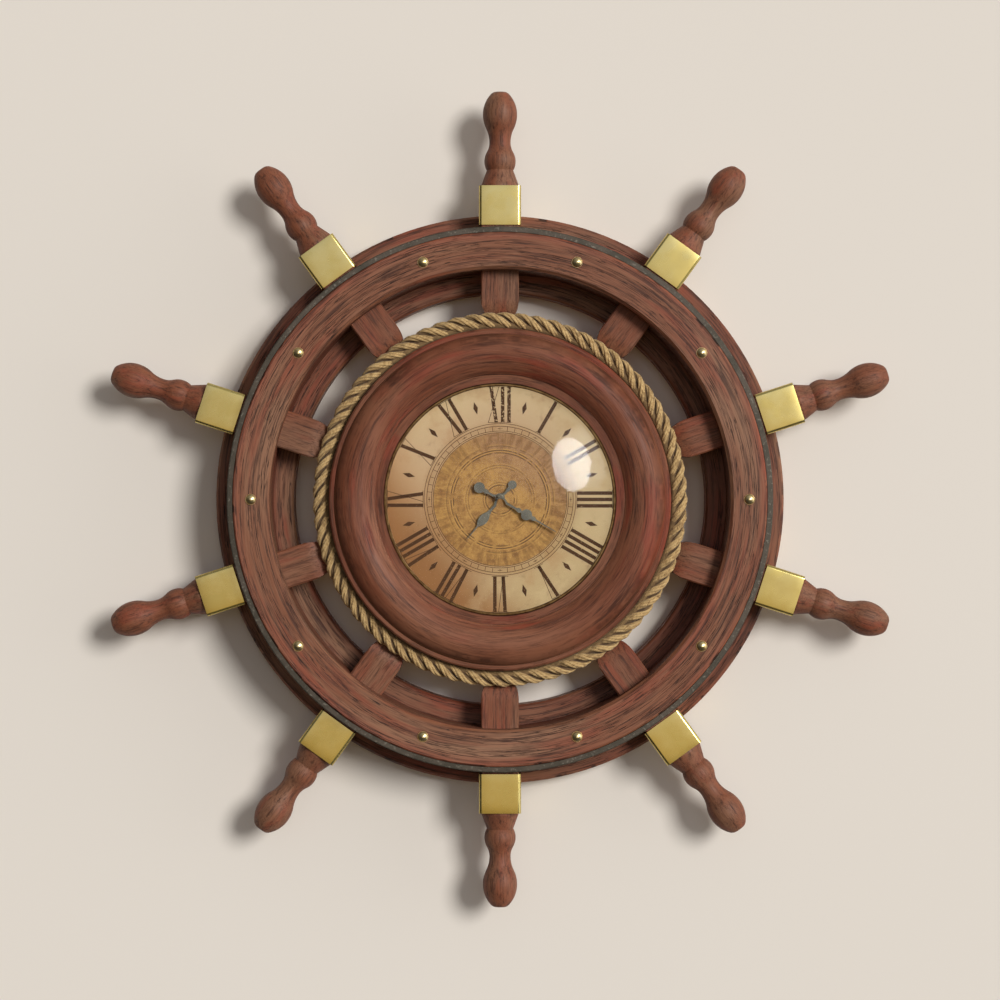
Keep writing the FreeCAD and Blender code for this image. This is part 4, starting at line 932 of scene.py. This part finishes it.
@dataclass
class Studio:
    """Camera, lamps, surrounding light and wall. Lengths are in metres, and spreads in degrees.

    The lens and the sensor are in millimetres. The face and the rings round it are lit by a twin
    of the key lamp, for which the rings cast no shadow.
    """

    camera_distance: float = 1.96
    rim_front: float = 0.063
    lens: float = 95.9
    sensor: float = 36.0
    nearest: float = 0.05
    drop: float = 0.0004
    key_direction: Triple = (0.51, -0.81, 0.25)
    key_spread: Span = (17.4, 22.4)
    key_radiance: float = 29.0
    lamp_distance: float = 60.0
    rear_direction: Triple = (0.0, 1.0, 0.05)
    rear_spread: Span = (40.0, 40.0)
    rear_radiance: float = 4.0
    sky: float = 0.34
    horizon: float = 0.2
    ground: float = 0.06
    sky_span: Span = (0.0, 0.5)
    ground_span: Span = (0.0, -0.35)
    side_slant: float = 0.8
    side_glow: float = 1.5
    glow_span: Span = (0.75, 0.95)
    fill_low: Color = (0.54, 0.36, 0.07, 1.0)
    fill_high: Color = (0.6, 0.63, 0.84, 1.0)
    fill_rise: Span = (-0.14, 0.14)
    fill_front: Span = (0.88, 0.98)
    no_fill: Color = (0.0, 0.0, 0.0, 1.0)
    wall: WallPaint = WallPaint()
    wall_size: float = 9.0
    wall_gap: float = 0.0002
    rings: Names = ("bezel_ring", "glass_ring", "glass_spacer")
    face: Names = (
        "dial_plate", "dial_numerals", "minute_track", "minute_hand", "hour_hand", "hand_nut",
    )

    def build(self) -> None:
        """Make the camera, the lamps, the world and the wall, once the pieces are there."""
        self._camera()
        key = self.key_direction, self.key_spread, self.key_radiance
        room = self._lamp("key", *key)
        twin = self._lamp("face_key", *key)
        rear = self._lamp("rear_lamp", self.rear_direction, self.rear_spread, self.rear_radiance)
        rear.visible_glossy = False
        self._wall()
        lit = self.face + self.rings
        self._link(room, "receiver_collection", "room_only", lit, "EXCLUDE")
        self._link(twin, "receiver_collection", "face_only", lit, "INCLUDE")
        self._link(twin, "blocker_collection", "no_rim_shadow", self.rings, "EXCLUDE")
        self._link(rear, "blocker_collection", "no_wall_shadow", ("wall",), "EXCLUDE")
        self._world()

    def _link(self, lamp: Piece, role: str, name: str, pieces: Names, state: str) -> None:
        """Tie a lamp to some pieces.

        Args:
            lamp: the lamp.
            role: which collection of its light linking is filled.
            name: name of the new collection.
            pieces: the pieces in it.
            state: whether they are the only ones or the ones left out.
        """
        group = bpy.data.collections.new(name)
        for piece in pieces:
            group.objects.link(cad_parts.get(piece) or bpy.data.objects[piece])
        for member in group.collection_objects:
            member.light_linking.link_state = state
        setattr(lamp.light_linking, role, group)

    def _camera(self) -> None:
        """Camera on the dial axis."""
        data = bpy.data.cameras.new("camera")
        data.lens = self.lens
        data.sensor_width = self.sensor
        data.clip_start = self.nearest
        camera = bpy.data.objects.new("camera", data)
        camera.location = (DIAL.x, -self.rim_front - self.camera_distance, DIAL.z - self.drop)
        camera.rotation_euler = (math.pi / 2, 0, 0)
        bpy.context.scene.collection.objects.link(camera)
        bpy.context.scene.camera = camera

    def _lamp(self, name: str, toward: Triple, spread: Span, radiance: float) -> Piece:
        """Make a soft far lamp.

        Args:
            name: its name.
            toward: direction from the dial to the lamp.
            spread: its width and height seen from the dial.
            radiance: its brightness.

        Returns:
            The lamp.
        """
        data = bpy.data.lights.new(name, "AREA")
        width, height = [2 * self.lamp_distance * math.tan(math.radians(part / 2)) for part in spread]
        data.shape = "ELLIPSE"
        data.size = width
        data.size_y = height
        data.energy = radiance * math.pi * (math.pi / 4) * width * height
        lamp = bpy.data.objects.new(name, data)
        direction = Vector(toward).normalized()
        lamp.location = DIAL + direction * self.lamp_distance
        lamp.rotation_euler = direction.to_track_quat("Z", "Y").to_euler()
        lamp.visible_camera = False
        bpy.context.scene.collection.objects.link(lamp)
        return lamp

    def _world(self) -> None:
        """Light that is brighter above and from the right, with a soft fill from the front."""
        world = bpy.data.worlds.new("surroundings")
        bpy.context.scene.world = world
        graph = Graph(world)
        direction = graph.add("ShaderNodeTexCoord").outputs["Generated"]
        parts = graph.add("ShaderNodeSeparateXYZ", None, {0: direction}).outputs
        side, back, rise = [Value(graph, part) for part in parts]
        above = rise.step(*self.sky_span) * (self.sky - self.horizon)
        below = rise.step(*self.ground_span) * (self.horizon - self.ground)
        level = (self.horizon + above - below) * (1 + side * self.side_slant)
        level = level + side.step(*self.glow_span) * self.side_glow
        fill = graph.mix(rise.step(*self.fill_rise), self.fill_low, self.fill_high)
        patch = graph.mix((back * -1).step(*self.fill_front), self.no_fill, fill)
        color = graph.mix(1.0, graph.vector(level, level, level), patch, "ADD")
        seen = Value(graph, graph.add("ShaderNodeLightPath").outputs["Is Camera Ray"])
        color = graph.coats(color, (seen, self.wall.tone))
        background = graph.add("ShaderNodeBackground", None, {0: color}).outputs[0]
        graph.add("ShaderNodeOutputWorld", None, {0: background})

    def _wall(self) -> None:
        """Wall behind the clock."""
        shape = bmesh.new()
        place = Matrix.Translation((0, self.wall_gap, DIAL.z)) @ UPRIGHT
        half = self.wall_size / 2
        bmesh.ops.create_grid(shape, x_segments=1, y_segments=1, size=half, matrix=place)
        new_piece("wall", shape, self.wall.material())


@dataclass
class Assembly:
    """A sub-assembly of carried-over nodes and their finishes."""

    finishes: Finishes = ()

    def build(self) -> None:
        """Give each node its finish."""
        for finish, nodes in self.finishes:
            material = finish.material()
            for node in nodes:
                dress(node, material)


@dataclass
class Rim(Assembly):
    """Rear ring, felloes, front ring, hoop and dome screws. Lengths are in millimetres."""

    finishes: Finishes = (
        (Wood("rim_wood", GrainRun.ROUND, base=(127, 79, 55), pale=(142, 103, 78),
              edge_radius=196.0, edge_red=0.55), ("front_ring",)),
        (Wood("rear_rim_wood", GrainRun.ROUND, base=(118, 66, 46), red_share=0.7),
         ("rear_ring", "felloes")),
        (AgedIron(), ("rim_hoop",)),
        (Metal("stud_brass", (222, 202, 150), (200, 176, 122), roughness=0.3, cloud=3.0),
         ("rim_studs",)),
    )
    stud_radius: float = 183.5
    cap_radius: float = 4.0
    cap_height: float = 2.7
    cap_start: float = 62.9
    cap_segments: int = 32
    cap_rings: int = 20

    def build(self) -> None:
        """Dress the rim and lay a worn dome over the head and flange of each screw."""
        super().build()
        shape = bmesh.new()
        size = Matrix.Diagonal((self.cap_radius * MM, self.cap_height * MM, self.cap_radius * MM, 1.0))
        front = self.cap_start + DIAL.y / MM
        for number in range(SPOKES):
            place = on_dial(FULL_TURN * number / SPOKES, self.stud_radius, front, 0.0) @ size
            bmesh.ops.create_uvsphere(
                shape, u_segments=self.cap_segments, v_segments=self.cap_rings, radius=1.0, matrix=place,
            )
        bmesh.ops.recalc_face_normals(shape, faces=shape.faces)
        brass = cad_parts["rim_studs"].data.materials[0]
        caps = new_piece("stud_caps", shape, brass, smooth=True)
        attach(caps, "clock_frame")


@dataclass
class SpokeSet(Assembly):
    """Spokes with their turned handles, and their brass ferrules."""

    finishes: Finishes = (
        (Wood("spoke_wood", GrainRun.OUTWARD, base=(127, 74, 51), pale=(129, 89, 66),
              red=(138, 58, 40), streak_length=34.0, streak_width=2.2, pore_length=8.0,
              pore_width=0.5, pore_share=0.4, red_share=0.4, gloss=0.22),
         tuple("spoke_%02d" % number for number in range(1, SPOKES + 1))),
        (SleeveMetal("ferrule_brass", (208, 190, 122), (200, 180, 108), roughness=0.27, cloud=18.0,
                     grain=7.0, relief=0.002),
         tuple("ferrule_%02d" % number for number in range(1, SPOKES + 1))),
    )


@dataclass
class Hub(Assembly):
    """Hub, turned bezel and backing board."""

    finishes: Finishes = (
        (Wood("bezel_wood", GrainRun.ROUND, base=(113, 64, 44), pale=(132, 85, 62),
              red=(130, 54, 38), run_radius=105.0, streak_length=42.0, streak_width=3.0,
              pore_length=12.0, pore_width=0.6, pore_share=0.35, red_share=0.6, roughness=0.48,
              gloss=0.16), ("bezel_ring",)),
        (Wood("hub_wood", GrainRun.ROUND, base=(98, 58, 42), run_radius=100.0), ("hub_body",)),
        (Wood("board_wood", GrainRun.LEVEL, base=(150, 116, 82), pale=(170, 138, 102), red_share=0.1),
         ("backing_board",)),
    )


@dataclass
class RopeTrim:
    """Three strand rope laid round the bezel's side.

    Offsets and radii are shares of the rope's radius; the stray fibres' reach and radius are in
    metres. A core fills the corner behind the strands, in darker tones of the rope fibre that are
    painted shade.
    """

    core_radius: float = 0.59
    core_offset: float = -0.45
    core_steps: int = 180
    core_bevel: int = 3
    # painted shade: darker copies of the rope's tones for the core in the corner behind the strands
    core_shade_tones: tuple[Tone, Tone, Tone] = ((138, 110, 70), (108, 82, 48), (68, 47, 25))
    turns: int = 23
    strands: int = 3
    strand_offset: float = 0.5
    yarns: int = 5
    yarn_offset: float = 0.3
    yarn_turns: int = -9
    yarn_radius: float = 0.2
    yarn_bevel: int = 1
    steps_per_turn: int = 26
    fibre_count: int = 260
    fibre_radius: float = 0.00007
    fibre_side: Span = (-0.3, math.pi)
    fibre_reach: Span = (0.0012, 0.0028)
    fibre_drift: Span = (-0.02, 0.02)
    fibre_root: float = 0.86
    fibre_limit: float = 1.3
    fibre_rise: float = 1.2
    fibre_curl: float = 0.4
    fibre_taper: float = 0.7
    seed: int = 7
    centre: Vector = field(default_factory=Vector)
    ring_radius: float = 0.0
    rope_radius: float = 0.0

    def __post_init__(self) -> None:
        """Read the ring's size from the frame."""
        low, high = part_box("hub_rope")
        self.rope_radius = (high.y - low.y) / 2
        self.ring_radius = (high.x - low.x) / 2 - self.rope_radius
        self.centre = Vector((DIAL.x, (low.y + high.y) / 2, DIAL.z))

    def _point(self, turn: float, outward: float, front: float) -> tuple[float, ...]:
        """Point of the ring's section at an angle.

        Args:
            turn: angle about the dial axis in radians.
            outward: offset away from the axis in metres.
            front: offset towards the front in metres.

        Returns:
            The point in metres, with a weight of 1.
        """
        radius = self.ring_radius + outward
        place = self.centre + Vector((radius * math.cos(turn), -front, radius * math.sin(turn)))
        return (*place, 1.0)

    def _loop(self, curve: bpy.types.Curve, offsets: list[Span]) -> None:
        """Add a closed line round the dial axis to a curve.

        Args:
            curve: the curve.
            offsets: outward and front offset of each of the line's points, in metres.
        """
        spline = curve.splines.new("POLY")
        spline.points.add(len(offsets) - 1)
        spline.use_cyclic_u = True
        for i, point in enumerate(spline.points):
            point.co = self._point(FULL_TURN * i / len(offsets), *offsets[i])

    def _yarn(self, strand: int, yarn: int) -> list[Span]:
        """Line of one yarn.

        Args:
            strand: number of its strand.
            yarn: its number in the strand.

        Returns:
            The outward and front offsets of its points, in metres.
        """
        wide, narrow = self.rope_radius * self.strand_offset, self.rope_radius * self.yarn_offset
        steps = self.turns * self.steps_per_turn
        offsets = []
        for i in range(steps):
            turn = FULL_TURN * i / steps
            lay = -self.turns * turn + FULL_TURN * strand / self.strands
            twist = lay + self.yarn_turns * turn + FULL_TURN * yarn / self.yarns
            outward = wide * math.cos(lay) + narrow * math.cos(twist)
            offsets.append((outward, wide * math.sin(lay) + narrow * math.sin(twist)))
        return offsets

    def _fibre(self, curve: bpy.types.Curve, dice: random.Random) -> None:
        """Add one short stray fibre.

        Args:
            curve: the curve that it is added to.
            dice: gives its place and shape.
        """
        turn = dice.uniform(0, FULL_TURN)
        side = dice.uniform(*self.fibre_side)
        reach = dice.uniform(*self.fibre_reach)
        drift = dice.uniform(*self.fibre_drift)
        spline = curve.splines.new("POLY")
        spline.points.add(2)
        for i, point in enumerate(spline.points):
            share = i / 2
            lift = reach * share * (self.fibre_rise - self.fibre_curl * share)
            height = min(self.rope_radius * self.fibre_root + lift, self.rope_radius * self.fibre_limit)
            offsets = height * math.cos(side), height * math.sin(side)
            point.co = self._point(turn + drift * share, *offsets)
            point.radius = 1.0 - self.fibre_taper * share

    def _tubes(self, name: str, radius: float, bevel: int) -> bpy.types.Curve:
        """Empty curve whose lines become tubes.

        Args:
            name: its name.
            radius: the tubes' radius in metres.
            bevel: how finely they are rounded.

        Returns:
            The curve.
        """
        curve = bpy.data.curves.new(name, "CURVE")
        curve.dimensions = "3D"
        curve.bevel_depth = radius
        curve.bevel_resolution = bevel
        curve.twist_mode = "MINIMUM"
        return curve

    def _finish(self, curve: bpy.types.Curve, material: Material) -> Piece:
        """Turn a curve into a piece of its name that rides on the clock's frame.

        Args:
            curve: the curve.
            material: the piece's material.

        Returns:
            The piece.
        """
        holder = bpy.data.objects.new(curve.name + "_curve", curve)
        bpy.context.scene.collection.objects.link(holder)
        shown = holder.evaluated_get(bpy.context.evaluated_depsgraph_get())
        mesh = bpy.data.meshes.new_from_object(shown)
        bpy.data.objects.remove(holder)
        piece = new_piece(curve.name, mesh, material, smooth=True)
        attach(piece, "clock_frame")
        return piece

    def build(self) -> None:
        """Lay the core, the yarns and the stray fibres."""
        sizes = self.ring_radius / MM, -self.centre.y / MM, self.rope_radius / MM
        material = RopeFibre("rope_fibre", *sizes).material()
        core = self._tubes("rope_core", self.rope_radius * self.core_radius, self.core_bevel)
        self._loop(core, [(self.rope_radius * self.core_offset, 0.0)] * self.core_steps)
        # the core's fibre is the rope's in darker tones, painted shade
        self._finish(core, RopeFibre("rope_core_fibre", *sizes, *self.core_shade_tones).material())
        yarns = self._tubes("rope_strands", self.rope_radius * self.yarn_radius, self.yarn_bevel)
        for strand in range(self.strands):
            for yarn in range(self.yarns):
                self._loop(yarns, self._yarn(strand, yarn))
        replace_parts(self._finish(yarns, material), "hub_rope")
        fibres = self._tubes("rope_fibres", self.fibre_radius, 0)
        dice = random.Random(self.seed)
        for _ in range(self.fibre_count):
            self._fibre(fibres, dice)
        self._finish(fibres, material)


class Stroke(Enum):
    """Strokes of the numerals, with their share of a bar's width."""

    THICK = 1.0
    THIN = 0.16


@dataclass
class DialFace:
    """Printed dial: numerals, lozenges and minute track. Lengths are in millimetres."""

    numeral_foot: float = 56.8
    numeral_top: float = 83.0
    bar_width: float = 2.6
    bar_pitch: float = 4.7
    cross_width: float = 8.6
    wedge_width: float = 7.6
    serif_width: float = 0.35
    lozenge_radius: float = 69.6
    lozenge_length: float = 9.6
    lozenge_width: float = 3.4
    track_inner: float = 50.5
    track_outer: float = 54.0
    track_edges: Span = (49.3, 56.0)
    track_ink: Tone = (84, 52, 31)
    line_width: float = 0.42
    tick_width: float = 0.38
    circle_segments: int = 144
    print_height: float = 0.05
    numerals: Names = (
        "XII", "I", "II", "III", "IIII", "V", "VI", "VII", "VIII", "IX", "X", "XI",
    )

    def _bar(self, shape: Shape, angle: float, start: Span, end: Span, width: float) -> None:
        """Add a flat bar of print.

        Args:
            shape: the mesh it is added to.
            angle: clockwise angle from the top in radians.
            start: sideways and outward place of one end.
            end: sideways and outward place of the other end.
            width: width of the bar.
        """
        first, last = Vector(start), Vector(end)
        run, middle = last - first, (first + last) / 2
        size = Matrix.Diagonal((width * MM, self.print_height * MM * 2, run.length * MM, 1.0))
        lean = Matrix.Rotation(math.atan2(run.x, run.y), 4, "Y")
        place = on_dial(angle, middle.x, 0.0, middle.y) @ lean @ size
        bmesh.ops.create_cube(shape, size=1.0, matrix=place)

    def _glyph_width(self, glyph: str) -> float:
        """Width of one letter."""
        return {"I": self.bar_pitch, "V": self.wedge_width, "X": self.cross_width}[glyph]

    def _glyph(self, shape: Shape, glyph: str, angle: float, left: float) -> None:
        """Add one letter.

        Args:
            shape: the mesh it is added to.
            glyph: the letter.
            angle: clockwise angle of its numeral from the top in radians.
            left: sideways place of its left side.
        """
        foot, top, inset = self.numeral_foot, self.numeral_top, self.bar_pitch / 2
        thick, thin = [self.bar_width * weight.value for weight in (Stroke.THICK, Stroke.THIN)]
        right = left + self._glyph_width(glyph)
        middle = (left + right) / 2
        strokes = {
            "I": (((middle, foot), (middle, top), thick),),
            "V": (((left + inset, top), (middle, foot), thick),
                  ((right - thin, top), (middle, foot), thin)),
            "X": (((left + inset, top), (right - inset, foot), thick),
                  ((right - thin, top), (left + thin, foot), thin)),
        }
        for start, end, width in strokes[glyph]:
            self._bar(shape, angle, start, end, width)

    def _numeral(self, shape: Shape, text: str, angle: float) -> None:
        """Add one numeral with hairlines along its top and foot.

        Args:
            shape: the mesh it is added to.
            text: the numeral.
            angle: its clockwise angle from the top in radians.
        """
        half = sum(self._glyph_width(glyph) for glyph in text) / 2
        left = -half
        for glyph in text:
            self._glyph(shape, glyph, angle, left)
            left += self._glyph_width(glyph)
        for height in (self.numeral_foot, self.numeral_top):
            self._bar(shape, angle, (-half, height), (half, height), self.serif_width)

    def _lozenge(self, shape: Shape, angle: float) -> None:
        """Add one lozenge.

        Args:
            shape: the mesh it is added to.
            angle: clockwise angle from the top in radians.
        """
        size = Matrix.Diagonal((self.lozenge_width / 2 * MM, self.lozenge_length / 2 * MM, 1.0, 1.0))
        place = on_dial(angle, 0.0, self.print_height, self.lozenge_radius) @ UPRIGHT @ size
        bmesh.ops.create_circle(shape, cap_ends=True, segments=4, radius=1.0, matrix=place)

    def _circle(self, shape: Shape, radius: float) -> None:
        """Add one thin printed circle.

        Args:
            shape: the mesh it is added to.
            radius: radius of its middle.
        """
        place = on_dial(0.0, 0.0, self.print_height, 0.0) @ UPRIGHT
        edges = []
        for side in (-0.5, 0.5):
            size = (radius + side * self.line_width) * MM
            made = bmesh.ops.create_circle(
                shape, cap_ends=False, segments=self.circle_segments, radius=size, matrix=place,
            )
            edges.extend({edge for vertex in made["verts"] for edge in vertex.link_edges})
        bmesh.ops.bridge_loops(shape, edges=edges)

    def _track(self, shape: Shape) -> None:
        """Add the minute track, with a cross instead of a tick at each hour.

        Args:
            shape: the mesh it is added to.
        """
        inner, outer, width = self.track_inner, self.track_outer, self.tick_width
        middle, reach = (inner + outer) / 2, outer - inner
        for radius in (inner, outer, *self.track_edges):
            self._circle(shape, radius)
        for minute in range(MINUTES):
            angle = FULL_TURN * minute / MINUTES
            if minute % (MINUTES // HOURS):
                self._bar(shape, angle, (0, inner), (0, outer), width)
            else:
                self._bar(shape, angle, (-reach / 2, middle), (reach / 2, middle), width)
                self._bar(shape, angle, (0, middle - reach / 4), (0, middle + reach / 4), width)

    def build(self) -> None:
        """Print the dial."""
        dress("dial_plate", Parchment().material())
        ink = WornInk().material()
        letters = bmesh.new()
        for hour, text in enumerate(self.numerals):
            angle = FULL_TURN * hour / HOURS
            self._numeral(letters, text, angle)
            self._lozenge(letters, angle + FULL_TURN / HOURS / 2)
        track = bmesh.new()
        self._track(track)
        brown = WornInk("track_ink", self.track_ink).material()
        for name, shape, material in (
            ("dial_numerals", letters, ink), ("minute_track", track, brown),
        ):
            bmesh.ops.recalc_face_normals(shape, faces=shape.faces)
            piece = new_piece(name, shape, material)
            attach(piece, "clock_frame")


@dataclass
class Glazing(Assembly):
    """Brass ring, spacer and domed glass."""

    finishes: Finishes = (
        (Metal("ring_brass", (124, 98, 62), (88, 64, 40), roughness=0.42, cloud=5.0),
         ("glass_ring", "glass_spacer")),
        (DomeGlass(), ("glass_dome",)),
    )


@dataclass
class Hands(Assembly):
    """Hour and minute hand with the nut."""

    finishes: Finishes = (
        (Moulded("hand_paint", (92, 88, 74), (78, 76, 64), grain=0.8), ("minute_hand", "hour_hand")),
        (Moulded("nut_paint", (98, 93, 78), (84, 80, 68), roughness=0.4), ("hand_nut",)),
    )


@dataclass
class Movement(Assembly):
    """Quartz movement, its wheels, cell and fixings, and the hanger."""

    finishes: Finishes = (
        (Moulded("case_plastic", (44, 44, 46), (38, 38, 40), roughness=0.55, grain=0.5, relief=0.04),
         ("movement_case", "movement_cover", "train_plate", "drive_unit")),
        (Moulded("gear_plastic", (226, 224, 214), (214, 211, 200), roughness=0.4),
         ("reverser_wheel", "hour_wheel", "setting_wheel", "drive_pinion")),
        (Metal("zinc_steel", (178, 178, 176), (158, 158, 160), roughness=0.4, cloud=4.0, metallic=0.4),
         ("stator", "crystal_can", "battery_contacts", "board_screws", "hanger_plate",
          "hanger_screws")),
        (Metal("arbor_steel", (200, 200, 202), (184, 184, 188), roughness=0.22, cloud=2.0),
         ("minute_arbor",)),
        (Metal("coil_copper", (206, 118, 74), (178, 92, 56), cloud=0.4, relief=0.06),
         ("drive_coil",)),
        (Metal("nut_brass", (222, 190, 118), (206, 170, 98), roughness=0.3, cloud=3.0),
         ("fixing_nut",)),
        (Moulded("washer_rubber", (34, 34, 34), (28, 28, 28), roughness=0.8), ("fixing_washer",)),
        (Moulded("circuit_mask", (34, 92, 58), (28, 82, 50), roughness=0.35), ("circuit_board",)),
        (Moulded("cell_wrap", (62, 92, 128), (54, 82, 116), roughness=0.3, relief=0.01),
         ("battery",)),
    )


def main() -> None:
    """Build the clock's looks, sub-assembly by sub-assembly, and then the studio."""
    logging.basicConfig(level=logging.INFO, format="%(message)s")
    bpy.context.scene.view_settings.view_transform = "Standard"
    for part in (Rim, SpokeSet, Hub, RopeTrim, DialFace, Glazing, Hands, Movement, Studio):
        part().build()


if __name__ == "__main__":
    main()
